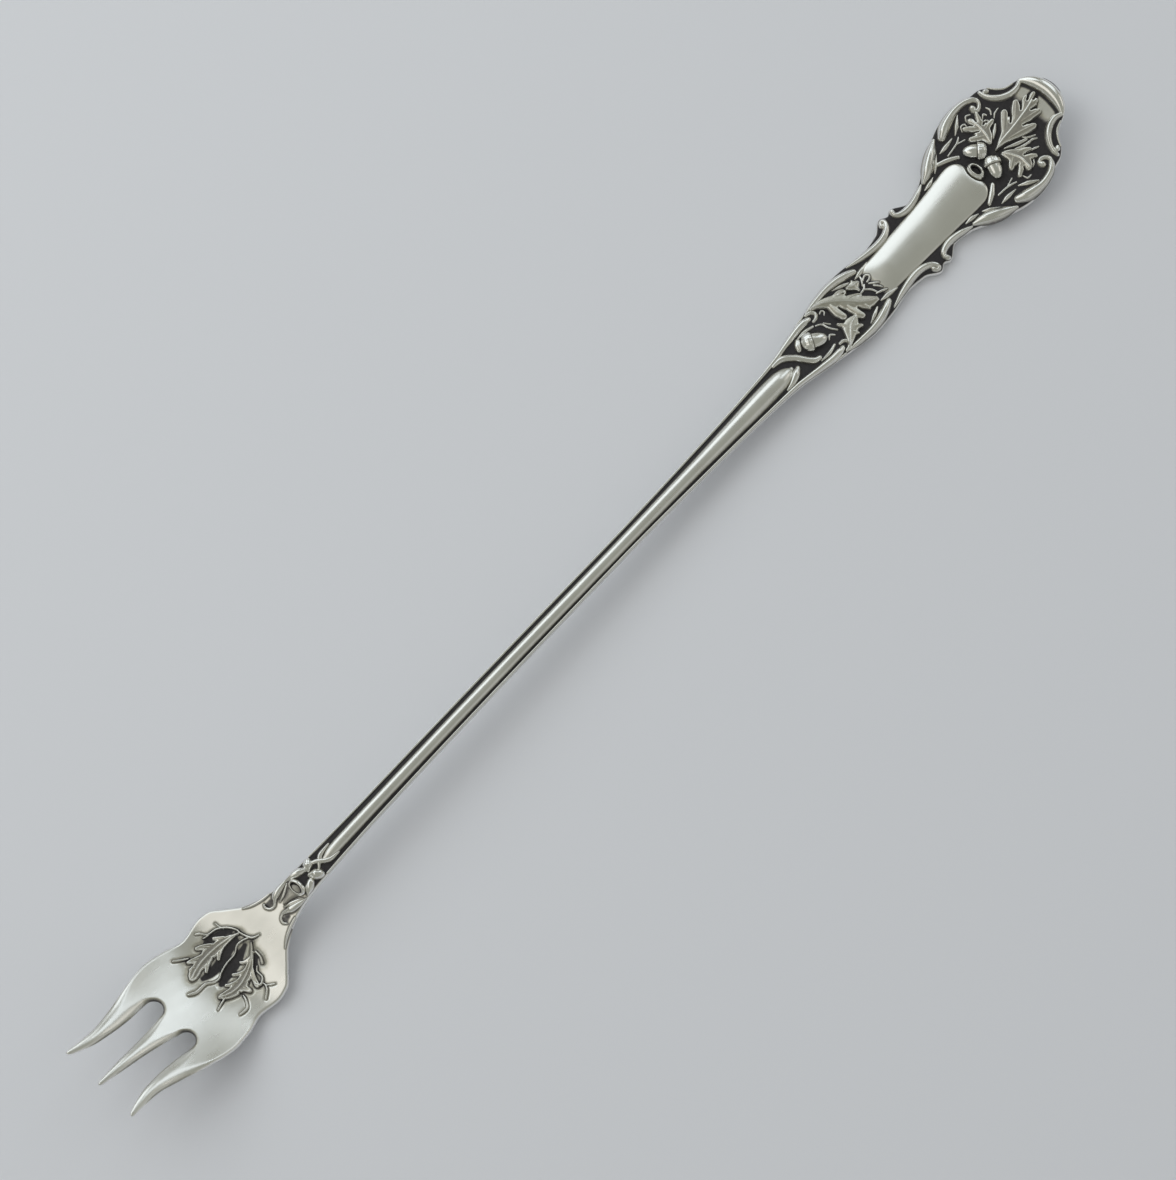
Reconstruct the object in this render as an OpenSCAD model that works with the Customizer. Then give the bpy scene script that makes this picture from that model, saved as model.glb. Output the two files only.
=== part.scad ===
// Long-handled pickle fork, struck in one piece from silver, with oak leaf, acorn and scroll ornament.
// The fork lies on its back: X runs from the tines to the handle's end, Z is up, and the origin is
// under its middle, on the table. Stations along the fork are measured from the tine tips.

/* [Tines] */
// Length of a tine, from its tip to the round end of a slot
tine_l = 13.3; // [11:0.1:16]
// Spread of the two outer tips, middle to middle
tip_spread = 12.4; // [11.6:0.1:13.4]
// Width of a tine at its tip
tip_w = 0.7; // [0.5:0.05:1]
// Thickness of a tine at its tip
tip_t = 0.75; // [0.6:0.05:1]
// Thickness of a tine at half its length
tine_t = 1.5; // [1.2:0.05:1.8]
// Width of the centre tine where the slots' round ends begin
centre_root_w = 3.7; // [3.2:0.1:4]
// Radius of a slot's round end
slot_r = 1.3; // [1.1:0.05:1.5]
// Height of the tips' underside above the table
tip_lift = 10.2; // [6:0.2:12]

/* [Palm] */
// Metal between the slots' ends and the line where the tines join the palm
web_l = 1.2; // [0.8:0.1:2]
// Length of the palm, from the tines to the neck
palm_l = 18.5; // [16:0.5:22]
// Width across the palm's front shoulders
palm_w = 17.7; // [16.5:0.1:19]
// Width across the palm's waist
waist_w = 15.5; // [14.5:0.1:16.4]
// Width across the palm's heel
heel_w = 16.5; // [15.5:0.1:17.5]
// Thickness of the palm
palm_t = 1.35; // [1:0.05:1.8]
// Rise of the palm's edges above its middle
dish = 1.1; // [0.6:0.1:1.6]

/* [Neck and stem] */
// Length of the neck
neck_l = 10; // [8:0.5:12]
// Width of the neck
neck_w = 4.4; // [4:0.1:5]
// Thickness of the neck
neck_t = 2.1; // [1.8:0.1:2.6]
// Height of the neck's underside above the table, where the stem begins
neck_lift = 3.9; // [2.4:0.1:4.1]
// Length of the stem
stem_l = 95; // [60:1:120]
// Width of the stem at its middle
stem_w = 3.3; // [3:0.1:4]
// Width of the stem where the handle begins
stem_end_w = 5.7; // [5.2:0.1:6.2]
// Thickness of the stem under its rib
stem_t = 1.7; // [1.3:0.1:2.2]
// Height of the stem's underside at the top of its arch
stem_lift = 4.2; // [4:0.1:6]
// Width of the stem's rib
rib_w = 1.9; // [1.5:0.1:2]
// Width of the rib near the handle
rib_end_w = 3.2; // [2.6:0.1:3.4]
// Height of the rib above the stem
rib_h = 0.8; // [0.5:0.05:1.1]
// Width of the beads along the edges
bead_w = 0.5; // [0.36:0.02:0.54]
// Height of the beads
bead_h = 0.4; // [0.25:0.05:0.6]

/* [Handle] */
// Length of the lower handle, which carries the leaf spray
spray_l = 21; // [18:0.5:26]
// Length of the plain panel's part of the handle
panel_l = 20; // [17:0.5:26]
// Length of the crown at the handle's end
crown_l = 18; // [16:0.5:22]
// Height of the underside above the table where the handle begins
spray_lift = 1.1; // [0.6:0.1:2]
// Length of the flat under the panel, on which the handle rests
rest_l = 9; // [6:0.5:12]
// Height of the underside above the table at the handle's turned-up end
end_lift = 4.4; // [1:0.1:6]
// Thickness of the handle's ground
handle_t = 1.4; // [1.1:0.1:1.9]
// Width across the lower handle
spray_w = 10.5; // [9.8:0.1:11.2]
// Width at the two waists beside the panel
panel_waist_w = 8.9; // [8.6:0.1:9.4]
// Width across the scroll ears between the waists
ear_w = 12.2; // [11.4:0.1:12.8]
// Depth of the notch between the two scrolls of an ear
ear_notch = 0.55; // [0.3:0.05:0.8]
// Width across the crown
crown_w = 18.6; // [17.4:0.1:20]
// Width of the crown's neck behind its end rim
crown_tip_w = 9.6; // [8.8:0.1:10.2]

/* [Panel] */
// Width of the plain panel at its lower end
panel_low_w = 6; // [5.4:0.1:6.2]
// Width of the plain panel at its crown end
panel_high_w = 7.8; // [7:0.1:8]
// Rise of the panel's middle above the ground
panel_rise = 0.8; // [0.5:0.05:1.1]
// Height of the panel's edge above the ground
panel_edge = 0.2; // [0.1:0.05:0.4]

/* [Ornament] */
// Width of the broadest border scroll
scroll_w = 1.1; // [0.8:0.05:1.2]
// Height of the broadest border scroll above the ground
scroll_h = 0.7; // [0.4:0.05:0.9]
// Width of the broadest twig
twig_w = 0.8; // [0.5:0.05:0.9]
// Height of the broadest twig above the ground
twig_h = 0.5; // [0.3:0.05:0.7]
// Width of the broadest leaf, lobe to lobe
leaf_w = 4; // [3:0.1:4.2]
// Height of a leaf's midrib above the ground
leaf_h = 0.6; // [0.35:0.05:0.8]
// Thickness of a leaf at its edge
leaf_edge = 0.22; // [0.1:0.02:0.3]
// Width of an acorn's nut
nut_w = 1.8; // [1.4:0.05:1.9]
// Length of an acorn's nut outside its cup
nut_l = 1.9; // [1.5:0.05:2.1]
// Width of an acorn's cup at its rim
cup_w = 2.3; // [2:0.05:2.5]
// Length of an acorn's cup
cup_l = 1.2; // [0.9:0.05:1.3]
// Width of the empty cup at the panel's end
hollow_cup_w = 2.9; // [2.4:0.1:3.1]
// Width of the empty cup on the neck
neck_cup_w = 2.6; // [2:0.1:2.8]
// Wall of an empty cup
cup_wall = 0.32; // [0.2:0.02:0.4]

/* [Hidden] */

silver = [0.82, 0.82, 0.79];
shade = [0.45, 0.45, 0.44];
$fn = 32;

// Stations where one stretch of the fork ends and the next begins
slot_x = tine_l;
root_x = slot_x + web_l;
neck_x = root_x + palm_l;
stem_x = neck_x + neck_l;
spray_x = stem_x + stem_l;
panel_x = spray_x + spray_l;
crown_x = panel_x + panel_l;
end_x = crown_x + crown_l;

// The palm's lowest point, where the head rests, and where the handle's flat begins
low_x = root_x + 0.46 * palm_l;
rest_x = panel_x + 1;

// Middle line of a slot's round end
slot_y = centre_root_w / 2 + slot_r;

function mix(a, b, t) = a + (b - a) * t;

// A smooth curve through a table of [station, value] points, with no swing past any of them
function run(t, i) = (t[i + 1][1] - t[i][1]) / (t[i + 1][0] - t[i][0]);
function slope(t, i) =
  i == 0 ? run(t, 0)
  : i == len(t) - 1 ? run(t, i - 1)
  : run(t, i - 1) * run(t, i) <= 0 ? 0
  : 2 * run(t, i - 1) * run(t, i) / (run(t, i - 1) + run(t, i));
function span(t, x, i = 0) = i >= len(t) - 2 || x < t[i + 1][0] ? i : span(t, x, i + 1);
function ease(t, i, s, d) =
  (2 * s ^ 3 - 3 * s ^ 2 + 1) * t[i][1] + (s ^ 3 - 2 * s ^ 2 + s) * d * slope(t, i)
  + (3 * s ^ 2 - 2 * s ^ 3) * t[i + 1][1] + (s ^ 3 - s ^ 2) * d * slope(t, i + 1);
function smooth(t, x) =
  let (q = min(max(x, t[0][0]), t[len(t) - 1][0]), i = span(t, q), d = t[i + 1][0] - t[i][0])
  ease(t, i, (q - t[i][0]) / d, d);

// Half the width of the outline at each station
head_outline = [
  [0, (tip_spread + tip_w) / 2],
  [0.3 * tine_l, tip_spread / 2 + 0.1],
  [0.6 * tine_l, mix(tip_spread, palm_w, 0.32) / 2],
  [0.9 * tine_l, mix(tip_spread, palm_w, 0.75) / 2],
  [root_x + 0.07 * palm_l, palm_w / 2],
  [root_x + 0.22 * palm_l, mix(waist_w, palm_w, 0.7) / 2],
  [root_x + 0.38 * palm_l, waist_w / 2],
  [root_x + 0.56 * palm_l, heel_w / 2],
  [root_x + 0.66 * palm_l, mix(neck_w, heel_w, 0.94) / 2],
  [root_x + 0.76 * palm_l, mix(neck_w, heel_w, 0.68) / 2],
  [root_x + 0.89 * palm_l, mix(neck_w, heel_w, 0.33) / 2],
  [neck_x + 0.1 * neck_l, mix(neck_w, heel_w, 0.1) / 2],
  [neck_x + 0.45 * neck_l, neck_w / 2],
  [stem_x, mix(stem_w, neck_w, 0.5) / 2]];
stem_outline = [
  [stem_x + 0.1 * stem_l, mix(stem_w, neck_w, 0.15) / 2],
  [stem_x + 0.4 * stem_l, stem_w / 2],
  [stem_x + 0.62 * stem_l, stem_w / 2],
  [stem_x + 0.82 * stem_l, mix(stem_w, stem_end_w, 0.28) / 2],
  [stem_x + 0.93 * stem_l, mix(stem_w, stem_end_w, 0.6) / 2]];
handle_outline = [
  [spray_x, stem_end_w / 2],
  [spray_x + 0.24 * spray_l, mix(stem_end_w, spray_w, 0.36) / 2],
  [spray_x + 0.45 * spray_l, mix(stem_end_w, spray_w, 0.68) / 2],
  [spray_x + 0.71 * spray_l, spray_w / 2],
  [spray_x + 0.86 * spray_l, mix(panel_waist_w, spray_w, 0.75) / 2],
  [panel_x + 0.08 * panel_l, panel_waist_w / 2],
  [panel_x + 0.22 * panel_l, mix(panel_waist_w, ear_w, 0.2) / 2],
  [panel_x + 0.335 * panel_l, ear_w / 2],
  [panel_x + 0.395 * panel_l, ear_w / 2 - ear_notch],
  [panel_x + 0.44 * panel_l, ear_w / 2 - 0.15],
  [panel_x + 0.57 * panel_l, panel_waist_w / 2 + 0.2],
  [panel_x + 0.7 * panel_l, mix(panel_waist_w, crown_w, 0.14) / 2],
  [panel_x + 0.85 * panel_l, mix(panel_waist_w, crown_w, 0.46) / 2],
  [crown_x, mix(panel_waist_w, crown_w, 0.74) / 2],
  [crown_x + 0.16 * crown_l, mix(panel_waist_w, crown_w, 0.95) / 2],
  [crown_x + 0.3 * crown_l, crown_w / 2],
  [crown_x + 0.41 * crown_l, mix(crown_tip_w, crown_w, 0.94) / 2],
  [crown_x + 0.5 * crown_l, mix(crown_tip_w, crown_w, 0.79) / 2],
  [crown_x + 0.58 * crown_l, mix(crown_tip_w, crown_w, 0.72) / 2],
  [crown_x + 0.635 * crown_l, mix(crown_tip_w, crown_w, 0.58) / 2],
  [crown_x + 0.672 * crown_l, mix(crown_tip_w, crown_w, 0.38) / 2],
  [crown_x + 0.722 * crown_l, mix(crown_tip_w, crown_w, 0.14) / 2],
  [crown_x + 0.79 * crown_l, crown_tip_w / 2],
  [crown_x + 0.85 * crown_l, 0.92 * crown_tip_w / 2],
  [crown_x + 0.917 * crown_l, 0.71 * crown_tip_w / 2],
  [crown_x + 0.96 * crown_l, 0.46 * crown_tip_w / 2],
  [crown_x + 0.985 * crown_l, 0.27 * crown_tip_w / 2],
  [end_x, 0.1 * crown_tip_w / 2]];
outline = concat(head_outline, stem_outline, handle_outline);
function half_w(x) = smooth(outline, x);

// Height of the underside's middle line: tips up, palm down, an arched stem, a flat and a turned-up end
lift = [
  [0, tip_lift], [low_x, 0], [neck_x, 0.58 * neck_lift], [stem_x, neck_lift],
  [stem_x + 0.17 * stem_l, stem_lift], [spray_x, spray_lift], [rest_x, 0], [rest_x + rest_l, 0],
  [crown_x + 0.2 * crown_l, 0.3 * end_lift], [end_x, end_lift]];

// Share of the dish at each station, and how round the underside is
hollow = [
  [0, 0], [0.5 * tine_l, 0.25], [slot_x, 1], [root_x + 0.14 * palm_l, 0.83], [root_x + 0.35 * palm_l, 0.5],
  [root_x + 0.68 * palm_l, 0.42], [neck_x, 0.17], [neck_x + 0.3 * neck_l, 0]];
belly = [
  [root_x + 0.68 * palm_l, 0], [neck_x + 0.3 * neck_l, 0.5], [stem_x, 0.6], [spray_x, 0.5],
  [spray_x + 0.6 * spray_l, 0.2], [panel_x, 0], [end_x, 0]];

// Thickness of the metal under the ornament, and the depth of the softened edge
thick = [
  [0, tip_t], [0.45 * tine_l, tine_t], [root_x, palm_t], [root_x + 0.68 * palm_l, palm_t],
  [neck_x + 0.5 * neck_l, neck_t], [stem_x, stem_t], [spray_x, stem_t],
  [spray_x + 0.4 * spray_l, handle_t], [end_x, handle_t]];
edge = [[root_x, 0], [root_x + 3, 0.35], [end_x - 2, 0.3], [end_x, 0.15]];

// Height of the underside, and of the top face that carries the ornament
function bowed(x, y) = dish * smooth(hollow, x) * (2 * y / palm_w) ^ 2;
function under(x, y) =
  smooth(lift, x) + bowed(x, y) + smooth(belly, x) * (y / max(half_w(x), abs(y))) ^ 2;
function seat(x, y) = smooth(lift, x) + bowed(x, y) + smooth(thick, x);

// Places the fork's middle over the origin
function centred(x, y, z) = [x - end_x / 2, y, z];

// Skin between closed rings of points, with flat ends
module loft(rings) {
  m = len(rings[0]);
  n = len(rings);
  skin = [for (i = [0 : n - 2], j = [0 : m - 1])
    let (a = i * m + j, b = i * m + (j + 1) % m)
    each [[a, a + m, b], [b, a + m, b + m]]];
  cap = [for (j = [0 : ceil(m / 2) - 1])
    let (a = j, b = j + 1, c = m - j - 1, d = m - j)
    each concat(b < c ? [[a, b, c]] : [], j > 0 && b < d && a < c ? [[a, c, d]] : [])];
  last = (n - 1) * m;
  polyhedron(points = [for (r = rings) each r], faces = concat(
    cap, skin, [for (f = cap) [f[2] + last, f[1] + last, f[0] + last]]));
}

// A curve through the given points [x, y, share of full width], with n steps from each to the next
function bend(a, b, c, d, t) =
  0.5 * (2 * b + (c - a) * t + (2 * a - 5 * b + 4 * c - d) * t ^ 2 + (3 * b - a - 3 * c + d) * t ^ 3);
function traced(p, n) =
  let (k = len(p) - 1)
  concat([for (i = [0 : k - 1], s = [0 : n - 1])
    bend(p[max(i - 1, 0)], p[i], p[i + 1], p[min(i + 2, k)], s / n)], [p[k]]);

// Direction across a path at its point i
function across(p, i) =
  let (a = p[max(i - 1, 0)], b = p[min(i + 1, len(p) - 1)], l = norm([b.x - a.x, b.y - a.y]))
  [(a.y - b.y) / l, (b.x - a.x) / l];

// A path with one more point at each end, drawn in to a small tip
function beyond(a, b, w) =
  let (l = norm([a.x - b.x, a.y - b.y]), d = 0.35 * w * a.z / l)
  [a.x + d * (a.x - b.x), a.y + d * (a.y - b.y), 0.3 * a.z];
function tipped(p, w) =
  concat([beyond(p[0], p[1], w)], p, [beyond(p[len(p) - 1], p[len(p) - 2], w)]);

// A half-round moulding that lies on the top face and swells with the path's third value
module moulding(line, w, h, sides = 4) {
  path = tipped(line, w);
  loft([for (i = [0 : len(path) - 1])
    let (p = path[i], q = across(path, i), r = w / 2 * p.z, z = h * sqrt(p.z))
    [for (k = [0 : sides])
      let (a = 180 * k / sides, x = p.x + q.x * r * cos(a), y = p.y + q.y * r * cos(a))
      centred(x, y, k == 0 || k == sides ? seat(x, y) : seat(p.x, p.y) + z * sin(a))]]);
}

// An oak leaf along a midrib: round lobes on both sides, a raised midrib and thin edges
function lobed(s, lobes) =
  sin(180 * s ^ 1.25) ^ 0.6 * (0.6 + 0.4 * abs(sin(180 * lobes * s)) ^ 0.8) + 0.06;
module oak_leaf(rib, w, lobes) {
  path = traced(rib, 8);
  n = len(path) - 1;
  forward = 0.35;
  loft([for (i = [0 : n])
    let (p = path[i], q = across(path, i), r = w / 2 * lobed(i / n, lobes),
      h = mix(leaf_edge, leaf_h, sin(180 * (i + 0.5) / (n + 1))))
    [for (v = [[1, 0], [1, 1], [0.5, 2], [0, 3], [-0.5, 2], [-1, 1], [-1, 0]])
      let (o = r * v[0], f = forward * abs(o) * sin(180 * i / n),
        x = p.x + q.x * o + q.y * f, y = p.y + q.y * o - q.x * f)
      centred(x, y, seat(x, y) + [0, leaf_edge, mix(leaf_edge, h, 0.8), h][v[1]])]]);
}

// Ornament is drawn in millimetres on a die of the sizes given here and follows the fork's own sizes
palm_die = [root_x, palm_l / 18.5, palm_w / 17.7];
neck_die = [neck_x, neck_l / 10, neck_w / 4.4];
spray_die = [spray_x, spray_l / 21, spray_w / 10.5];
panel_die = [panel_x, panel_l / 20, panel_waist_w / 8.9];
crown_die = [crown_x, crown_l / 18, crown_w / 18.6];
function struck(die, points, side = 1) =
  [for (p = points) [die[0] + p.x * die[1], side * p.y * die[2], len(p) > 2 ? p.z : 1]];

// A group of leaves, each given as [share of the broadest width, lobes on a side, midrib]
module leaves(die, list) for (l = list) oak_leaf(struck(die, l[2]), l[0] * leaf_w, l[1]);

// A stretch of the plain body between two stations, meeting its neighbours face to face
function body_ring(x, n) =
  let (w = half_w(x), e = smooth(edge, x), mid = (seat(x, w) + under(x, w)) / 2)
  concat(
    [for (j = [0 : n]) let (y = (w - e) * (1 - 2 * j / n)) centred(x, y, seat(x, y))],
    [centred(x, -w, mid)],
    [for (j = [0 : n]) let (y = (w - e) * (2 * j / n - 1)) centred(x, y, under(x, y))],
    [centred(x, w, mid)]);
module body(stations, n) loft([for (x = stations) body_ring(x, n)]);
function steps(a, b, n) = [for (i = [0 : n]) mix(a, b, i / n)];

// Tines: the slots' round ends are arcs, and the tines taper from them to the tips
taper_x = slot_x - slot_r;
centre_edge = [
  [0, tip_w / 2], [0.25 * taper_x, mix(tip_w, centre_root_w, 0.2) / 2],
  [0.7 * taper_x, mix(tip_w, centre_root_w, 0.57) / 2], [taper_x, centre_root_w / 2]];
inner_edge = [
  [0, (tip_spread - tip_w) / 2], [0.17 * taper_x, mix(slot_y + slot_r, tip_spread / 2, 0.35)],
  [0.34 * taper_x, mix(slot_y + slot_r, tip_spread / 2, 0.05)],
  [0.67 * taper_x, slot_y + slot_r - 0.2], [taper_x, slot_y + slot_r]];
function slot_arc(x) = x >= slot_x ? 0 : sqrt(max(0, slot_r ^ 2 - (x - taper_x) ^ 2));
function centre_side(x) = x < taper_x ? smooth(centre_edge, x) : slot_y - slot_arc(x);
function inner_side(x) = x < taper_x ? smooth(inner_edge, x) : slot_y + slot_arc(x);
tine_stations = concat(
  steps(0, taper_x, 11), [for (a = [15 : 15 : 90]) taper_x + slot_r * sin(a)], [root_x]);

// One tine between two edges, rounded near its tip and flat where it joins the palm
function tine_ring(x, low, high) =
  let (n = 5, round = 1 - (min(x, slot_x) / slot_x) ^ 3, t = smooth(thick, x))
  concat(
    [for (j = [0 : n]) let (v = 1 - 2 * j / n, y = mix(low, high, 1 - j / n))
      centred(x, y, seat(x, y) - 0.6 * t * round * v ^ 2)],
    [for (j = [0 : n]) let (v = 2 * j / n - 1, y = mix(low, high, j / n))
      centred(x, y, under(x, y) + 0.3 * t * round * v ^ 2)]);
module outer_tine(side) {
  loft([for (x = tine_stations)
    side > 0 ? tine_ring(x, inner_side(x), half_w(x)) : tine_ring(x, -half_w(x), -inner_side(x))]);
}

module tine_left() color(silver) outer_tine(1);
module tine_centre() color(silver)
  loft([for (x = tine_stations) tine_ring(x, -centre_side(x), centre_side(x))]);
module tine_right() color(silver) outer_tine(-1);

// The dished palm and the oak sprig struck into it
module palm() color(silver) body(steps(root_x, neck_x, 22), 8);
palm_leaf_list = [
  [0.8, 4, [[13.1, 2.4], [10.1, 3.4], [6.9, 3.65], [4.2, 2.85]]],
  [0.8, 4, [[13.3, 0.2], [10.7, -1.85], [7.9, -2.75], [5, -1.8]]]];
module palm_leaves() color(silver) leaves(palm_die, palm_leaf_list);
palm_twig_points = [
  [[14.8, 0, 0.4], [13.25, 2.2, 0.45], [12.5, 4.25, 0.45], [10, 5.65, 0.4], [8.9, 6.9, 0.45]],
  [[13.8, 0.75, 0.4], [11.7, 1.5, 0.45], [8.9, 0.9, 0.4], [5.8, 0.35, 0.5], [2.25, 1.45, 0.6]],
  [[4.1, 6.4, 0.5], [5.1, 5.7, 0.5], [5.8, 5.3, 0.3]],
  [[5.1, -5.6, 0.5], [6.4, -5.6, 0.5], [7.3, -4, 0.35]],
  [[9.1, -6.65, 0.5], [10.1, -5.9, 0.5], [10.4, -4.9, 0.3]]];
module palm_twigs() color(silver)
  for (t = palm_twig_points) moulding(traced(struck(palm_die, t), 3), twig_w, twig_h);

// The neck with its two leaf scrolls, an empty acorn cup and the crossed tie below the stem's rib
module neck() color(shade) body(steps(neck_x, stem_x, 12), 4);
neck_scroll_points = [
  [[4.4, 1.85, 0.2], [3, 1.7, 0.75], [1.9, 1.45, 0.8], [1, 1, 0.5], [0, 0.95, 0.4], [-0.35, 1.6, 0.35]],
  [[1.6, 0.5, 0.2], [2.4, 0.7, 0.4], [3.5, 1.25, 0.25]],
  [[-2.6, 3.9, 0.2], [-1.2, 3.05, 0.35], [0.8, 2.4, 0.3]]];
neck_bud_points = [
  [[6.7, 1.15, 0.55], [5.8, 1.45, 0.9], [4.9, 1.75, 0.5]],
  [[7.1, 0.35, 0.6], [7.4, 0.95, 0.9], [7.6, 1.45, 0.6]],
  [[5.1, -1.65, 0.35], [5.8, -1.25, 0.9], [6.4, -0.85, 0.6]],
  [[6.7, -0.15, 0.6], [7.4, -0.65, 0.9], [8, -1.3, 0.6]]];
module neck_scrolls() color(silver) {
  for (side = [1, -1], t = neck_scroll_points)
    moulding(traced(struck(neck_die, t, side), 3), scroll_w, scroll_h);
  for (t = neck_bud_points) moulding(traced(struck(neck_die, t), 3), scroll_w, scroll_h);
}
module neck_acorn_cup() color(silver)
  hollow_cup(neck_x + 0.46 * neck_l, neck_cup_w, 0);
neck_tie_points = [
  [[8.2, 1.05, 0.5], [9.3, 0, 0.6], [10.6, -0.85, 0.4]],
  [[8.6, -0.2, 0.4], [9.5, 0.7, 0.5], [10.8, 1.1, 0.4]]];
module neck_tie() color(silver)
  for (t = neck_tie_points) moulding(traced(struck(neck_die, t), 3), twig_w, twig_h);

// The stem: a bar with a rounded rib, and a bead along each edge that ends in the lower handle
module stem() color(shade) body(steps(stem_x, spray_x, 18), 4);
rib_path = [
  [stem_x + 0.6, 0, 0.4], [stem_x + 2, 0, 0.8], [stem_x + 6, 0, 1], [stem_x + 0.3 * stem_l, 0, 1],
  [stem_x + 0.6 * stem_l, 0, 1], [stem_x + 0.8 * stem_l, 0, mix(1, rib_end_w / rib_w, 0.25)],
  [stem_x + 0.93 * stem_l, 0, mix(1, rib_end_w / rib_w, 0.85)], [spray_x - 1.5, 0, rib_end_w / rib_w],
  [spray_x + 0.5, 0, 0.8 * rib_end_w / rib_w], [spray_x + 1.6, 0, 0.45 * rib_end_w / rib_w],
  [spray_x + 2, 0, 0.12 * rib_end_w / rib_w]];
module stem_rib() color(silver) moulding(traced(rib_path, 3), rib_w, rib_h, 8);

// An edge bead keeps inside the softened edge and broadens into a blunt tip
function bead_line(side) = concat(
  [for (x = steps(stem_x + 0.4, spray_x + 0.2 * spray_l, 20))
    [x, side * (half_w(x) - smooth(edge, x) / 2 - bead_w / 2), 1]],
  traced(struck(spray_die, [[5.6, 3.2, 1.3], [7, 3.3, 1.6], [8, 3.25, 1.5], [8.9, 3.05, 0.7]], side), 3));
module edge_bead_left() color(silver) moulding(bead_line(1), bead_w, bead_h);
module edge_bead_right() color(silver) moulding(bead_line(-1), bead_w, bead_h);

// The handle's flat ground, cut to its scrolled outline
module handle_blade() color(shade)
  body(concat([for (i = [0 : len(handle_outline) - 2])
    each [for (k = [0 : 2]) mix(handle_outline[i][0], handle_outline[i + 1][0], k / 3)]], [end_x]), 2);

// The plain panel: a crowned plate with a blunt lower end and a round crown end
panel_sides = [
  [panel_x - 2, 0.5 * panel_low_w / 2], [panel_x - 0.9, 0.9 * panel_low_w / 2],
  [panel_x + 1, panel_low_w / 2], [panel_x + 0.25 * panel_l, mix(panel_low_w, panel_high_w, 0.22) / 2],
  [panel_x + 0.65 * panel_l, mix(panel_low_w, panel_high_w, 0.6) / 2],
  [panel_x + 0.92 * panel_l, panel_high_w / 2], [crown_x - 0.4, 0.88 * panel_high_w / 2],
  [crown_x + 0.3, 0.66 * panel_high_w / 2], [crown_x + 0.7, 0.36 * panel_high_w / 2]];
panel_stations = concat(
  steps(panel_x - 2, panel_x + 1, 5), steps(panel_x + 2.5, crown_x - 1.8, 10),
  steps(crown_x - 1.3, crown_x + 0.7, 7));
module plain_panel() color(silver)
  loft([for (x = panel_stations)
    let (n = 8, w = smooth(panel_sides, x), rise = panel_rise * (2 * w / panel_high_w) ^ 0.7)
    concat(
      [for (j = [0 : n]) let (v = 1 - 2 * j / n)
        centred(x, w * v, seat(x, 0) + panel_edge + rise * (1 - v ^ 2))],
      [centred(x, -w, seat(x, 0)), centred(x, w, seat(x, 0))])]);

// Border scrolls and strap leaves, the same on both sides, from the lower handle to the crown
spray_border = [
  [[6, 2.35, 0.2], [7.6, 2.25, 0.5], [8.7, 1.9, 0.3]],
  [[9.3, 4, 0.4], [10.15, 3.6, 0.55], [10.2, 3, 0.55], [9.4, 2.6, 0.4]],
  [[9.6, 4.3, 0.3], [12, 4.65, 0.8], [14.3, 4.65, 0.95], [16.3, 4.25, 1], [18, 3.65, 1], [19, 3.3, 0.8]],
  [[14.8, 3.85, 0.2], [16.1, 3.4, 0.5], [17.2, 2.9, 0.25]],
  [[18.4, 2.5, 0.2], [19.8, 2.65, 0.7], [21.4, 2.95, 0.2]]];
panel_border = [
  [[-2, 4.65, 0.25], [-0.4, 4.25, 0.5], [1.5, 3.85, 0.75], [3.5, 3.6, 0.9], [5.1, 3.75, 0.9],
    [6.3, 4.4, 0.8], [6.7, 5.25, 0.6]],
  [[8.75, 5.3, 0.7], [8.75, 4.6, 0.75], [10.2, 3.95, 0.9], [11.9, 4, 0.9], [13.4, 4.5, 0.7],
    [14.6, 4.95, 0.25]],
  [[14.4, 3.95, 0.2], [15.5, 4.05, 0.55], [16.6, 4.35, 0.2]],
  [[15.2, 4.85, 0.6], [17.2, 5.75, 1.2], [18.9, 6.75, 1.1], [20.4, 7.7, 0.25]],
  [[17.4, 4.4, 0.2], [18.3, 5.1, 0.4], [19.5, 6.05, 0.2]]];
crown_border = [
  [[0, 5.95, 0.2], [1.2, 5.95, 0.6], [2.8, 6.1, 0.2]],
  [[2, 7, 0.9], [3.2, 7.85, 1.1], [4.9, 8.5, 1.05], [6.6, 8.5, 0.9], [8.3, 8, 0.75], [9.3, 7.05, 0.6],
    [9.05, 6.35, 0.55], [8.35, 6, 0.6], [7.9, 6.4, 0.8]],
  [[3.4, 5.9, 0.2], [4.5, 6.7, 0.5], [5.6, 7.5, 0.2]],
  [[10.4, 7.2, 0.55], [10.55, 6.3, 0.8], [11.3, 5, 0.95], [12.6, 3.95, 1], [14.1, 3.6, 0.85],
    [15.1, 3.85, 0.5]]];
module border_scrolls(side) {
  for (t = spray_border) moulding(traced(struck(spray_die, t, side), 3), scroll_w, scroll_h);
  for (t = panel_border) moulding(traced(struck(panel_die, t, side), 3), scroll_w, scroll_h);
  for (t = crown_border) moulding(traced(struck(crown_die, t, side), 3), scroll_w, scroll_h);
}
module border_scrolls_left() color(silver) border_scrolls(1);
module border_scrolls_right() color(silver) border_scrolls(-1);

// The broad rim that closes the handle's end
crown_rim_points = [
  [15.4, 3.8, 0.6], [16, 3, 1.1], [16.6, 1.7, 1.5], [16.9, 0, 1.6], [16.6, -1.7, 1.5], [16, -3, 1.1],
  [15.4, -3.8, 0.6]];
module crown_rim() color(silver)
  moulding(traced(struck(crown_die, crown_rim_points), 4), scroll_w, scroll_h);

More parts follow.
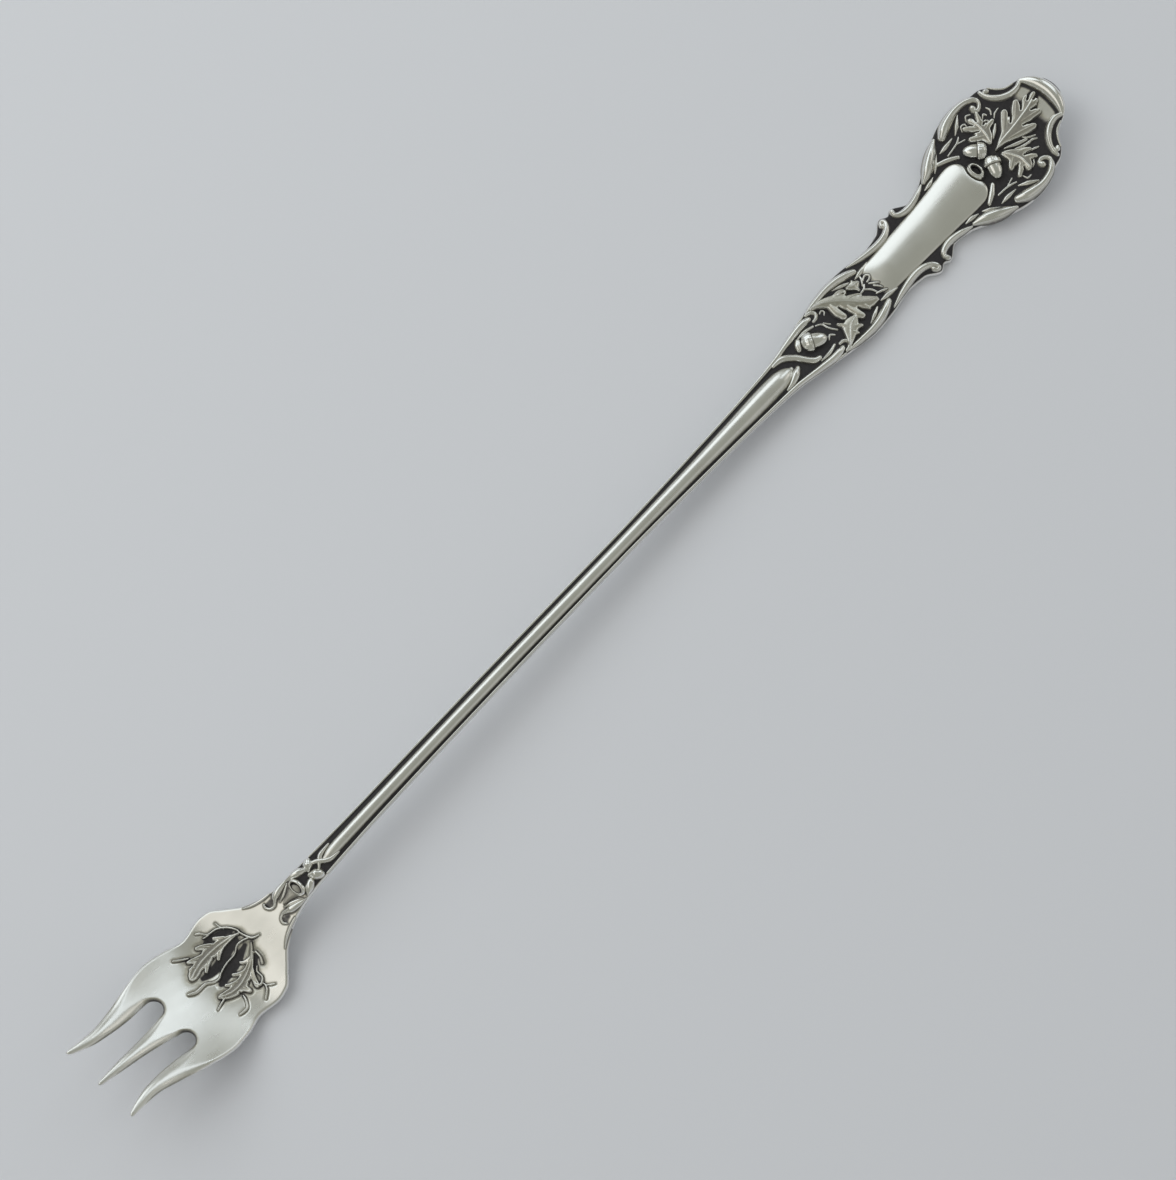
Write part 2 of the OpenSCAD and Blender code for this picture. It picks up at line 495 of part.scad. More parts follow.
// Leaves of the crown and of the lower spray
crown_leaf_list = [
  [1.3, 4, [[5.3, -0.1], [8, 0.1], [11.5, 0.25], [15, 1.05]]],
  [0.85, 3, [[5.6, 1.4], [6.1, 2.6], [6.4, 3.8], [6.3, 5.6]]],
  [0.85, 3, [[5.6, -1.2], [6.4, -2.4], [6.9, -3.9], [6.6, -5.3]]]];
spray_leaf_list = [
  [0.9, 4, [[10.6, 4], [13.2, 2.4], [15.3, 0], [18, -1.85]]],
  [0.55, 3, [[13.7, -1.55], [12.3, -2], [11.3, -2.8], [10.3, -3.7]]]];
module crown_leaves() color(silver) leaves(crown_die, crown_leaf_list);
module spray_leaves() color(silver) leaves(spray_die, spray_leaf_list);

// Places a piece on the top face at a station, turned to lie along the given direction
module laid(die, point, turn) {
  x = die[0] + point.x * die[1];
  y = point.y * die[2];
  tilt = atan((seat(x + 1, y) - seat(x - 1, y)) / 2);
  translate(centred(x, y, seat(x, y))) rotate([0, -tilt, 0]) rotate([0, 0, turn]) children();
}

// Keeps what lies above the top face
module above(size) intersection() {
  children();
  translate([-size, -size, 0]) cube([2 * size, 2 * size, size]);
}

// An acorn lies on its side with its cup's rim at the origin and its nut towards +X
function nut_side(n) = [for (i = [0 : n]) let (a = 90 * i / n) [nut_w / 2 * cos(a) ^ 0.8, nut_l * sin(a)]];
function cup_side(n) = [for (i = [0 : n]) let (a = 90 * i / n) [cup_w / 2 * cos(a) ^ 0.6, -cup_l * sin(a)]];
module nut() above(nut_l + nut_w) rotate([0, 90, 0]) rotate_extrude()
  polygon(concat([[0, 0]], nut_side(8)));
module cup() above(cup_l + cup_w) rotate([0, 90, 0]) rotate_extrude()
  polygon(concat([[0, 0]], cup_side(6)));
acorns = [[spray_die, [6.75, 0.6], -31], [crown_die, [3.8, 1.7], 134], [crown_die, [3.65, -1.1], -118]];
module acorn_nuts() color(silver) for (a = acorns) laid(a[0], a[1], a[2]) nut();
module acorn_cups() color(silver) for (a = acorns) laid(a[0], a[1], a[2]) cup();

// An empty acorn cup, a round bowl tipped on its edge with its mouth turned to one end of the fork
module hollow_cup(x, w, turn) {
  lean = 25;
  laid([x, 1, 1], [0, 0], turn) above(2 * w)
  translate([0, 0, 0.42 * w * sin(lean)]) rotate([0, lean, 0]) rotate_extrude() difference() {
    circle(d = w);
    circle(d = w - 2 * cup_wall);
    translate([-w, 0]) square(2 * w);
    translate([-w, -w]) square([w, 2 * w]);
  }
}
module handle_acorn_cup() color(silver) hollow_cup(crown_x + 1.1, hollow_cup_w, 180);

// Twigs: two that cross below the lower acorn, and those beside the panel's crown end
spray_twig_points = [
  [[0.2, 2.1, 0.55], [1.5, 2, 0.9], [2.5, 1.45, 0.95], [3.4, 0.5, 0.95], [4.2, -0.75, 0.95],
    [5.7, -1.85, 0.7]],
  [[-1.1, -1.75, 0.4], [0.2, -1.75, 0.7], [1.6, -1.3, 1], [2.8, -0.55, 0.9]],
  [[4.5, 0.8, 0.75], [4.75, 1.5, 0.85], [5.6, 2.15, 0.7]]];
crown_twig_points = [
  [[-1.5, 5.05, 0.7], [-0.2, 4.45, 0.9], [1.2, 3.5, 0.75]],
  [[-1.2, -4.6, 0.7], [0.1, -3.9, 1], [1.2, -3.1, 0.9]],
  [[0.5, 4.8, 0.3], [2.5, 5, 0.4], [3.5, 5.45, 0.3]],
  [[0.6, -4.75, 0.3], [2.3, -4.95, 0.4], [3.7, -5.45, 0.3]]];
module handle_twigs() color(silver) {
  for (t = spray_twig_points) moulding(traced(struck(spray_die, t), 3), twig_w, twig_h);
  for (t = crown_twig_points) moulding(traced(struck(crown_die, t), 3), twig_w, twig_h);
}

tine_left();
tine_centre();
tine_right();
palm();
palm_leaves();
palm_twigs();
neck();
neck_scrolls();
neck_acorn_cup();
neck_tie();
stem();
stem_rib();
edge_bead_left();
edge_bead_right();
handle_blade();
plain_panel();
border_scrolls_left();
border_scrolls_right();
crown_rim();
crown_leaves();
spray_leaves();
acorn_nuts();
acorn_cups();
handle_acorn_cup();
handle_twigs();
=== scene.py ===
"""A long pickle fork, struck from one strip of silver between two dies. It lies on its back, tines to -X.
Pieces are drawn in millimetres: x is the station from the tine tips, y is across, z is above the table."""
import math

import bpy
import numpy as np
from mathutils import Matrix, Vector


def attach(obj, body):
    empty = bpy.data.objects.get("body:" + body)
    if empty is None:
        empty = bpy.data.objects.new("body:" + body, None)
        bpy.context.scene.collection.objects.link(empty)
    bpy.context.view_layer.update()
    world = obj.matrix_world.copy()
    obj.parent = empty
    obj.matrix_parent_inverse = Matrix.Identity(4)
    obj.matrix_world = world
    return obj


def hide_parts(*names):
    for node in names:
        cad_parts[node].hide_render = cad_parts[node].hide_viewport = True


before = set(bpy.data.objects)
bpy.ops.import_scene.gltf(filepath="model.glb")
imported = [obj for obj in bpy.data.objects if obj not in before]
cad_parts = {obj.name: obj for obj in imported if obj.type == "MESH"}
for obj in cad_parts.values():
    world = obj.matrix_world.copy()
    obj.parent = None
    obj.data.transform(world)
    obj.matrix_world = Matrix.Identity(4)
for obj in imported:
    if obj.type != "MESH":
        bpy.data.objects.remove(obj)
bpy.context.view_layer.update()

# The palm: the dished front of the blank, rolled from sheet silver and cut to its outline.
# An oak sprig is struck into it, so its ground is sunk round the sprig and blackened there; a painted shade
# fades out round its leaves and twigs.
middle = 98.5  # the station that lies on the frame's origin
slot_x, root_x, neck_x, stem_x, spray_x, blunt_x, end_x = 13.3, 14.5, 33, 43, 138, 196.4, 197
dish_depth, palm_half = 1.1, 8.85
# Values along the fork as [station, value]: half width of the outline, height of the back above the table,
# share of the palm's dish, rounding of the back towards its edges, thickness
outline = np.array([
    (0, 6.55), (4, 6.3), (8, 7.05), (12, 8.2), (15.8, 8.85), (18.6, 8.5), (21.5, 7.75), (24.9, 8.25),
    (26.7, 7.9), (28.6, 6.3), (31, 4.2), (34, 2.8), (37.5, 2.2), (43, 1.93), (52.5, 1.73), (81, 1.65),
    (101.9, 1.65), (120.9, 1.99), (131.4, 2.37), (138, 2.85), (143, 3.7), (147.5, 4.5), (152.9, 5.25),
    (156.1, 5.05), (160.6, 4.45), (163.4, 4.8), (165.7, 6.1), (166.9, 5.55), (167.8, 5.95), (170.4, 4.65),
    (173, 5.15), (176, 6.7), (179, 8.05), (182, 9.05), (184.4, 9.3), (186.4, 9.05), (188, 8.35),
    (189.4, 8.05), (190.4, 7.4), (191.1, 6.5), (192, 5.45), (193.2, 4.8), (194.3, 4.4), (195.5, 3.4),
    (blunt_x, 2.05)])
lift = np.array([
    (0, 10.2), (23, 0), (33, 2.26), (43, 3.9), (59.1, 4.2), (138, 1.1), (160, 0), (169, 0), (182.6, 1.3),
    (197, 4.4)])
hollow = np.array([
    (0, 0), (6.65, 0.25), (13.3, 1), (17.1, 0.83), (21, 0.5), (27.1, 0.42), (33, 0.17), (36, 0)])
belly = np.array([(27.1, 0), (36, 0.5), (43, 0.6), (138, 0.5), (150.6, 0.2), (159, 0), (197, 0)])
thick = np.array([
    (0, 0.75), (6, 1.5), (14.5, 1.35), (27.1, 1.35), (38, 2.1), (43, 1.7), (138, 1.7), (146.4, 1.4),
    (197, 1.4)])


def smooth(table, x):
    """A curve through the table's points that never swings past any of them."""
    x = np.clip(x, table[0, 0], table[-1, 0])
    rise = np.diff(table[:, 1]) / np.diff(table[:, 0])
    slope = np.concatenate([rise[:1], np.zeros(len(rise) - 1), rise[-1:]])
    same = rise[:-1] * rise[1:] > 0
    slope[1:-1][same] = 2 * (rise[:-1] * rise[1:])[same] / (rise[:-1] + rise[1:])[same]
    i = np.clip(np.searchsorted(table[:, 0], x, side="right") - 1, 0, len(table) - 2)
    d = table[i + 1, 0] - table[i, 0]
    s = (x - table[i, 0]) / d
    return ((2 * s**3 - 3 * s**2 + 1) * table[i, 1] + (s**3 - 2 * s**2 + s) * d * slope[i]
            + (3 * s**2 - 2 * s**3) * table[i + 1, 1] + (s**3 - s**2) * d * slope[i + 1])


def half_width(x):
    blunt = np.clip((x - blunt_x) / (end_x - blunt_x), 0, 1)
    return smooth(outline, x) * np.sqrt(1 - blunt**2)


def seat(x, y):
    """Height of the top face, which carries the ornament."""
    return smooth(lift, x) + dish_depth * smooth(hollow, x) * (y / palm_half) ** 2 + smooth(thick, x)


def under(x, y):
    bow = smooth(belly, x) * np.minimum(1, np.abs(y) / np.maximum(half_width(x), 0.01)) ** 2
    return seat(x, y) - smooth(thick, x) + bow


def step(a, b, x):
    t = np.clip((x - a) / (b - a), 0, 1)
    return t * t * (3 - 2 * t)


def faces_of(x, y, gap, round_off):
    """Top and underside at distance gap from the edge, which is rounded off."""
    top, low = seat(x, y), under(x, y)
    c = np.clip(1 - gap / round_off, 0, 1)
    drop = 0.5 * (top - low) * (1 - np.sqrt(1 - c * c))
    return top - drop, low + drop


def edge_gap(x, y):
    lean = (half_width(x + 0.05) - half_width(x - 0.05)) / 0.1
    return (half_width(x) - np.abs(y)) / np.sqrt(1 + lean**2)


def traced(points, steps=6):
    """A smooth line through given points, whose further values are eased along it in the same way."""
    p = np.array(points, float)
    before, after = np.vstack([p[:1], p[:-1]]), np.vstack([p[1:], p[-1:]])
    line = []
    for i in range(len(p) - 1):
        a, b, c, d = before[i], p[i], p[i + 1], after[i + 1]
        t = np.linspace(0, 1, steps, endpoint=False)[:, None]
        line.append(0.5 * (2 * b + (c - a) * t + (2 * a - 5 * b + 4 * c - d) * t**2
                           + (3 * b - a - 3 * c + d) * t**3))
    return np.vstack(line + [p[-1:]])


def traced_set(*lines):
    return [traced(line) for line in lines]


def leaf_set(*leaves):
    """Leaves as lines of [x, y, half width]: the blade and its lobes, then the slits cut between them."""
    return [[traced_set(*part) for part in leaf] for leaf in leaves]


def reach(x, y, line):
    """Distance from a line's middle as a share of its half width there, and distance from its edge."""
    share, clear = np.full(np.shape(x), 99.0), np.full(np.shape(x), 99.0)
    for (ax, ay, ar), (bx, by, br) in zip(line[:-1], line[1:]):
        dx, dy = bx - ax, by - ay
        t = np.clip(((x - ax) * dx + (y - ay) * dy) / max(dx * dx + dy * dy, 1e-9), 0, 1)
        away, half = np.hypot(x - ax - t * dx, y - ay - t * dy), ar + t * (br - ar)
        share, clear = np.minimum(share, away / np.maximum(half, 0.02)), np.minimum(clear, away - half)
    return share, clear


# Lines of [x, y, half width]: the sprig's twigs and leaves, the black pools between them, and the
# neck's scrolls. The ground is sunk or darkened along them, so they come before it.
palm_twigs = traced_set(
    [(29.3, 0, 0.12), (28.3, 0.6, 0.2), (27.75, 2.2, 0.17), (27.7, 3, 0.17), (27, 4.25, 0.17),
     (25.9, 5.2, 0.16), (24.5, 5.65, 0.15), (23.9, 6.5, 0.2), (23.4, 6.9, 0.17)],
    [(26.6, 4.5, 0.1), (26.4, 5.2, 0.13), (26.35, 5.85, 0.1)],
    [(24.6, 5.5, 0.1), (24.1, 5.6, 0.14), (23.7, 5.75, 0.1)],
    [(28.3, 0.75, 0.15), (27.3, 1.3, 0.17), (26.2, 1.5, 0.17), (25.1, 0.95, 0.15), (23.4, 0.9, 0.17),
     (22, 0.55, 0.16), (21.2, 0.15, 0.17), (20.3, 0.35, 0.2), (19.4, 0.95, 0.26), (17.9, 0.95, 0.28),
     (17.2, 1.2, 0.28), (16.75, 1.45, 0.2)],
    [(20.3, 5.3, 0.12), (19.6, 5.7, 0.2), (18.6, 6.4, 0.2)],
    [(20.2, -2.3, 0.1), (19.2, -2.55, 0.18), (18, -2.95, 0.14)],
    [(21.8, -4, 0.14), (21.6, -4.7, 0.2), (21, -5.6, 0.2), (20.3, -5.7, 0.22), (19.6, -5.6, 0.17)],
    [(26, -2.6, 0.12), (25.5, -3.1, 0.14), (25.4, -4.2, 0.17), (24.6, -4.75, 0.26), (24.15, -4.2, 0.2),
     (24.4, -3.7, 0.14)],
    [(24.9, -4.9, 0.12), (24.9, -5.4, 0.17), (24.5, -6, 0.2), (23.6, -6.65, 0.2)],
    [(24.9, -5.3, 0.1), (25.4, -5.8, 0.17), (25.9, -6.2, 0.14)],
)
palm_leaves = leaf_set(
    (([(27.7, 2.35, 0.12), (26.4, 2.9, 0.42), (24.8, 3.35, 0.75), (23, 3.6, 0.95), (21.4, 3.6, 0.95),
       (20.3, 3.4, 0.75), (19.3, 3.1, 0.75), (18.7, 2.85, 0.45)],
      [(25.6, 3.6, 0.4), (24.7, 4.6, 0.3)],
      [(23.5, 4.2, 0.6), (22.8, 4.9, 0.45), (22.1, 5.4, 0.3)],
      [(21.2, 4.2, 0.5), (20.4, 4.6, 0.4), (19.9, 4.85, 0.28)],
      [(24.6, 3, 0.4), (23.6, 2.5, 0.32), (23.1, 2.15, 0.3)],
      [(21.9, 3, 0.4), (21.2, 2.5, 0.32), (20.7, 2.15, 0.28)],
      [(20, 3.7, 0.4), (19.4, 3.9, 0.26)]),
     ([(24, 4.9, 0.1), (24.3, 4.3, 0.05)], [(21.6, 5.1, 0.12), (22, 4.5, 0.05)],
      [(22.4, 2.3, 0.14), (22.7, 2.8, 0.05)])),
    (([(27.8, 0.2, 0.12), (26.6, -1, 0.32), (25.2, -1.85, 0.6), (23.8, -2.4, 0.8), (22.4, -2.65, 0.95),
       (21.2, -2.55, 0.78), (20.2, -2.2, 0.62), (19.5, -1.8, 0.35)],
      [(26, -1.15, 0.32), (25.2, -0.85, 0.28), (24.8, -0.45, 0.24)],
      [(24.2, -1.8, 0.38), (23.4, -1.3, 0.3), (22.9, -0.85, 0.26)],
      [(22.6, -2.1, 0.38), (21.7, -1.6, 0.3), (21.2, -1.2, 0.26)],
      [(22.6, -3.2, 0.55), (22.9, -4.15, 0.34)],
      [(25.1, -2.4, 0.36), (24.5, -3.4, 0.38), (24.15, -4.4, 0.42)],
      [(27.3, -1.1, 0.18), (27.2, -2.1, 0.2), (26.8, -2.85, 0.22)]),
     ([(23.5, -4, 0.12), (23.7, -3.2, 0.05)], [(21.6, -3.9, 0.14), (21.8, -3.3, 0.05)])),
)
leaf_lobes = [lobe for leaf in palm_leaves for lobe in leaf[0]]
pools = traced_set(
    [(19.7, 1.8, 0.3), (21.2, 1.5, 0.6), (23, 1.6, 0.7), (24.8, 1.9, 0.6), (26.6, 2.1, 0.35)],
    [(20.8, -0.6, 0.3), (22.3, -0.25, 0.65), (24, 0.05, 0.75), (25.6, 0.4, 0.6), (26.9, 0.7, 0.3)],
    [(27, 3.5, 0.2), (25.7, 4.45, 0.35), (23.6, 5.1, 0.3)],
    [(26.9, -1.6, 0.2), (26, -2.2, 0.3), (25.4, -2.9, 0.25)],
    [(33.1, 1.6, 0.3), (33.7, 1.55, 0.3)],
    [(33.2, -1.6, 0.3), (33.8, -1.5, 0.3)],
)
neck_strokes = traced_set(
    [(30.4, 4.1, 0.08), (31.5, 3.4, 0.2), (33, 2.8, 0.24), (34.3, 2.5, 0.18)],
    [(39.9, 0.95, 0.45), (39.1, 1.3, 0.7), (38.2, 1.6, 0.55), (37.2, 1.85, 0.25)],
    [(37.4, 1.95, 0.14), (36.3, 1.85, 0.42), (35.2, 1.75, 0.6), (34.5, 1.55, 0.55), (34.1, 1.2, 0.3),
     (33.55, 0.85, 0.24), (32.9, 1.05, 0.22), (32.6, 1.65, 0.21), (32.75, 2.1, 0.16)],
    [(34.6, 0.65, 0.14), (35.4, 0.78, 0.26), (36.4, 1.2, 0.22), (37, 1.55, 0.1)],
    [(40.3, 0.55, 0.4), (40.7, 0.95, 0.82), (41, 1.25, 0.7)],
    [(30.4, -4.1, 0.08), (31.5, -3.4, 0.2), (33, -2.8, 0.24), (34.3, -2.5, 0.18)],
    [(37.2, -1.95, 0.14), (36, -1.65, 0.46), (34.9, -1.3, 0.62), (34.3, -1.05, 0.42), (33.6, -0.78, 0.24),
     (32.95, -1.05, 0.22), (32.75, -1.65, 0.21), (33, -2.1, 0.16)],
    [(34.5, -0.4, 0.14), (35.4, -0.72, 0.28), (36.4, -1.25, 0.24), (37, -1.6, 0.1)],
    [(37.9, -1.75, 0.25), (38.6, -1.35, 0.68), (39.3, -0.95, 0.66)],
    [(40, -0.2, 0.45), (40.5, -0.6, 0.88), (40.95, -1, 0.82)],
)


def nearest(x, y, lines):
    """Distance from the edge of the nearest line."""
    best = np.full(np.shape(x), 99.0)
    for line in lines:
        best = np.minimum(best, reach(x, y, line)[1])
    return best


def loft(rings):
    """Vertices and faces of a skin through closed rings, and the faces of its two flat ends."""
    n, m = rings.shape[:2]
    a = (np.arange(n - 1)[:, None] * m + np.arange(m)[None, :])
    b = (np.arange(n - 1)[:, None] * m + (np.arange(m)[None, :] + 1) % m)
    skin = np.stack([a, a + m, b + m, b], -1).reshape(-1, 4)
    j = np.arange(m // 2 - 1)
    cap = np.stack([j, j + 1, m - 2 - j, m - 1 - j], -1)
    return rings.reshape(-1, 3), skin, np.vstack([cap, cap[:, ::-1] + (n - 1) * m])


def skin_normals(points, skin, ring):
    """Normals of top and underside alone, so that no shade shows where two pieces of one blank meet."""
    faces = skin[np.arange(len(skin)) % (ring // 2) != ring // 2 - 1]
    corner = points[faces]
    normal = np.cross(corner[:, 2] - corner[:, 0], corner[:, 3] - corner[:, 1])
    key, back = np.unique(np.round(points, 4), axis=0, return_inverse=True)
    total = np.zeros((len(key), 3))
    for k in range(4):
        np.add.at(total, back.reshape(-1)[faces[:, k]], normal)
    total /= np.maximum(np.linalg.norm(total, axis=1), 1e-12)[:, None]
    return total[back.reshape(-1)]


def node_maker(tree):
    """A maker of nodes: it sets their inputs to plain values or ties them to outputs, and returns their own."""
    def add(kind, inputs=None, **settings):
        node = tree.nodes.new(kind)
        for word, value in settings.items():
            setattr(node, word, value)
        for socket, value in (inputs or {}).items():
            if isinstance(value, bpy.types.NodeSocket):
                tree.links.new(value, node.inputs[socket])
            else:
                node.inputs[socket].default_value = value
        return node.outputs
    return add


def blend(add, factor, a, b):
    """A mix of two colours. A mix node takes colours in at its sockets 6 and 7 and gives one out at 2."""
    return add("ShaderNodeMix", {"Factor": factor, 6: a, 7: b}, data_type="RGBA")[2]


def new_tree(name, kind, inputs, outputs):
    """A node tree with named sockets, its makers of nodes and of math nodes, and what it is given."""
    tree = bpy.data.node_groups.new(name, kind)
    for way, sockets in (("INPUT", inputs), ("OUTPUT", outputs)):
        for word, sort in sockets.items():
            tree.interface.new_socket(word, in_out=way, socket_type="NodeSocket" + sort)
    add = node_maker(tree)

    def work(operation, *values):
        return add("ShaderNodeMath", dict(enumerate(values)), operation=operation)["Value"]

    return tree, add, work, add("NodeGroupInput")


def oxidised_silver():
    """Polished silver on the crests, black oxide left in the hollows, fine scratches and tarnish. A low crest
    also carries painted shade on some pieces.
    """
    group, add, work, given = new_tree(
        "oxidised_silver", "ShaderNodeTree", {"Crest": "Float", "Haze": "Float"},
        {"Colour": "Color", "Metal": "Float", "Roughness": "Float", "Relief": "Float"})
    where = add("ShaderNodeTexCoord")["Object"]

    def noise(scale, detail, stretch=(1, 1, 1), turn=0.0):
        spot = add("ShaderNodeMapping", {"Vector": where, "Scale": stretch, "Rotation": (0, 0, turn)})
        return add("ShaderNodeTexNoise", {"Vector": spot[0], "Scale": scale, "Detail": detail})["Fac"]

    def ranged(value, low, high, to_low=0.0, to_high=1.0):
        return add("ShaderNodeMapRange", {"Value": value, "From Min": low, "From Max": high, "To Min": to_low,
                                          "To Max": to_high}, interpolation_type="SMOOTHSTEP")["Result"]

    def sum_of(a, b, share):
        return work("MULTIPLY_ADD", b, share, a)

    cloud, mottle = noise(260, 3), noise(2600, 4)
    strokes = noise(900, 2, (0.06, 1, 1), 0.12)
    hairs = noise(2200, 1, (0.04, 1, 1), -0.3)
    lifted = sum_of(given["Crest"], mottle, 0.22)
    bare = ranged(lifted, 0.16, 0.8)
    polished = ranged(lifted, 0.6, 1.05)
    dim = blend(add, cloud, (0.56, 0.54, 0.46, 1), (0.78, 0.76, 0.7, 1))
    bright = blend(add, cloud, (0.86, 0.855, 0.845, 1), (0.98, 0.975, 0.955, 1))
    black = blend(add, mottle, (0.01, 0.009, 0.014, 1), (0.045, 0.042, 0.043, 1))
    worn = sum_of(sum_of(ranged(polished, 0, 1, 0.15, 0), strokes, 0.1), given["Haze"], 1)
    add("NodeGroupOutput", {
        "Colour": blend(add, bare, black, blend(add, polished, dim, bright)),
        "Metal": ranged(bare, 0, 1, 0.3, 1),
        "Roughness": sum_of(worn, cloud, 0.06),
        "Relief": sum_of(sum_of(sum_of(strokes, hairs, 0.6), mottle, 0.5), cloud, 3)})
    return group


finish_group = oxidised_silver()
scratch_strength, scratch_depth = 0.25, 0.00002


def silver_material(name, haze):
    material = bpy.data.materials.new(name)
    material.use_nodes = True
    tree = material.node_tree
    add = node_maker(tree)
    crest = add("ShaderNodeAttribute", attribute_name="crest")["Fac"]
    finish = add("ShaderNodeGroup", {"Crest": crest, "Haze": haze}, node_tree=finish_group)
    bump = add("ShaderNodeBump", {"Height": finish["Relief"], "Strength": scratch_strength,
                                  "Distance": scratch_depth})
    for source, target in ((finish["Colour"], "Base Color"), (finish["Metal"], "Metallic"),
                           (finish["Roughness"], "Roughness"), (bump["Normal"], "Normal")):
        tree.links.new(source, tree.nodes["Principled BSDF"].inputs[target])
    return material


satin_silver = silver_material("satin_silver", 0.21)


def into_scene(name, data):
    thing = bpy.data.objects.new(name, data)
    bpy.context.scene.collection.objects.link(thing)
    return thing


def mark(mesh, word, values):
    """A named number at each point of a mesh."""
    mesh.attributes.new(word, "FLOAT", "POINT").data.foreach_set("value", values.astype(np.float32))


def place(piece, node, slot="bright_silver"):
    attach(piece, "root")
    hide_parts(node)


def make_piece(name, node, points, faces, crest, metal, normals=None, slot="bright_silver"):
    """A finished mesh in the fork's own frame. Crest is 0 on black metal and 1 on bright metal; the black is
    oxide in a hollow, and on some pieces painted shade.
    Points that fall together are joined, and a face that shrinks to a line by it is left out."""
    _, first, joined = np.unique(np.round(points, 5), axis=0, return_index=True, return_inverse=True)
    faces = joined.reshape(-1)[faces]
    corner = faces != np.roll(faces, 1, 1)
    corner &= (corner.sum(1) > 2)[:, None]
    size = corner.sum(1)[corner.any(1)]
    mesh = bpy.data.meshes.new(name)
    mesh.vertices.add(len(first))
    mesh.vertices.foreach_set("co", ((points[first] - (middle, 0, 0)) / 1000).astype(np.float32).ravel())
    mesh.loops.add(int(size.sum()))
    mesh.loops.foreach_set("vertex_index", faces[corner].astype(np.int32))
    mesh.polygons.add(len(size))
    mesh.polygons.foreach_set("loop_start", (np.cumsum(size) - size).astype(np.int32))
    mesh.update(calc_edges=True)
    mark(mesh, "crest", crest[first])
    if normals is not None:
        mesh.normals_split_custom_set_from_vertices(normals[first])
    mesh.materials.append(metal)
    place(into_scene(name, mesh), node, slot)


slot_r, slot_y = 1.3, 3.15
taper_x = slot_x - slot_r
tip_x, edge_round = 0.6, 0.5
leaf_sunk, twig_sunk = 0.2, 0.08
centre_edge = np.array([(0, 0.35), (3, 0.65), (8.4, 1.2), (12, 1.85)])
inner_edge = np.array([(0, 5.85), (2.04, 5.05), (4.08, 4.54), (8.04, 4.25), (12, 4.45)])
across = np.linspace(-1, 1, 49)


def slot_arc(x):
    return np.sqrt(np.maximum(0, slot_r**2 - (np.minimum(x, slot_x) - taper_x) ** 2))


def band_limits(x, side):
    """Lower and upper edge of a tine, and behind the slots of the strip of palm that runs on from it."""
    spread = slot_y * half_width(x) / half_width(np.array(slot_x))
    if side == 0:
        reach_y = np.where(x < taper_x, smooth(centre_edge, x),
                           np.where(x < slot_x, slot_y - slot_arc(x), spread))
        return -reach_y, reach_y
    inner = np.where(x < taper_x, smooth(inner_edge, x), np.where(x < slot_x, slot_y + slot_arc(x), spread))
    return (inner, half_width(x)) if side > 0 else (-half_width(x), -inner)


def band(stations, side):
    """Top and underside of one strip, row by row along the fork."""
    x = stations[:, None] + 0 * across[None, :]
    low, high = band_limits(stations, side)
    tip = np.sqrt(1 - (1 - np.clip(stations / tip_x, 0.02, 1)) ** 2)[:, None]
    v = np.sin(across * math.pi / 2)[None, :]
    v = v + (across[None, :] - v) * step(slot_x, slot_x + 2, x)
    half = ((high - low) / 2)[:, None] * tip
    y = ((high + low) / 2)[:, None] + half * v
    to_slot = np.hypot(x - taper_x, np.abs(y) - slot_y) - slot_r
    gap = np.where(x < taper_x, half * (1 - np.abs(v)), np.minimum(edge_gap(x, y), to_slot))
    full = np.maximum(half, 0.05) + (edge_round - half) * step(8, 13.4, x)
    round_off = np.where(x < slot_x, np.maximum(full, 0.05), edge_round)
    top, low_face = faces_of(x, y, np.maximum(gap, 0), round_off)
    mid = (top + low_face) / 2
    top, low_face = mid + (top - mid) * tip, mid + (low_face - mid) * tip
    # Painted shade: dark round the ends of the slots, and a dark line along the rounded edges of the tines.
    bright = (1 - 0.85 * (1 - step(0.05, 0.75, to_slot)) * step(taper_x - 1.5, slot_x - 0.3, x)
              - 0.62 * (1 - step(0.02, 0.3, 1 - np.abs(v))) * step(1, 4, x) * (1 - step(8, taper_x, x)))
    if stations[-1] > root_x:
        leaf, twig, pool = (nearest(x, y, lines) for lines in (leaf_lobes, palm_twigs, pools))
        top = top - np.maximum(leaf_sunk * (1 - step(0.05, 0.5, np.minimum(leaf, pool))),
                               twig_sunk * (1 - step(0.02, 0.25, twig)))
        # Black oxide in the sunk ground, the pools and round the neck's scrolls; the wider soft fade round the
        # leaves and twigs is painted shade.
        bright = (bright - 0.45 * (1 - step(0, 0.25, leaf)) - 0.42 * (1 - step(0.1, 1.6, leaf))
                  - 0.6 * (1 - step(0, 0.2, twig)) - 0.15 * (1 - step(0.1, 0.8, twig))
                  - (1 - step(-0.25, 0.25, pool)) - 0.7 * (1 - step(0, 0.3, nearest(x, y, neck_strokes))))
    # Painted shade on the underside: darker near the tines' edges and round the ends of the slots.
    grimy = 1 - 0.75 * (1 - step(0.2, 0.9, np.where(x < taper_x, gap, to_slot))) * step(1, 4, x)
    return (np.stack([x, y, top], -1), np.stack([x, y, low_face], -1), np.clip(bright, 0, 1), grimy)


palm_stations = np.linspace(root_x, neck_x, 150)
strips = [band(palm_stations, side) for side in (-1, 0, 1)]


def skinned_piece(name, node, top, low, bright, back, slot="bright_silver"):
    """A length of the blank from its top and its underside, row by row, with flat cut ends."""
    points, skin, caps = loft(np.concatenate([top, low[:, ::-1]], 1))
    crest = np.concatenate([bright, back[:, ::-1]], 1).ravel()
    make_piece(name, node, points, np.vstack([skin, caps]), crest, satin_silver,
               skin_normals(points, skin, 2 * top.shape[1]), slot)


skinned_piece("palm_dish", "palm", *(
    np.concatenate([right, centre[:, 1:], left[:, 1:]], 1) for right, centre, left in zip(*strips)))
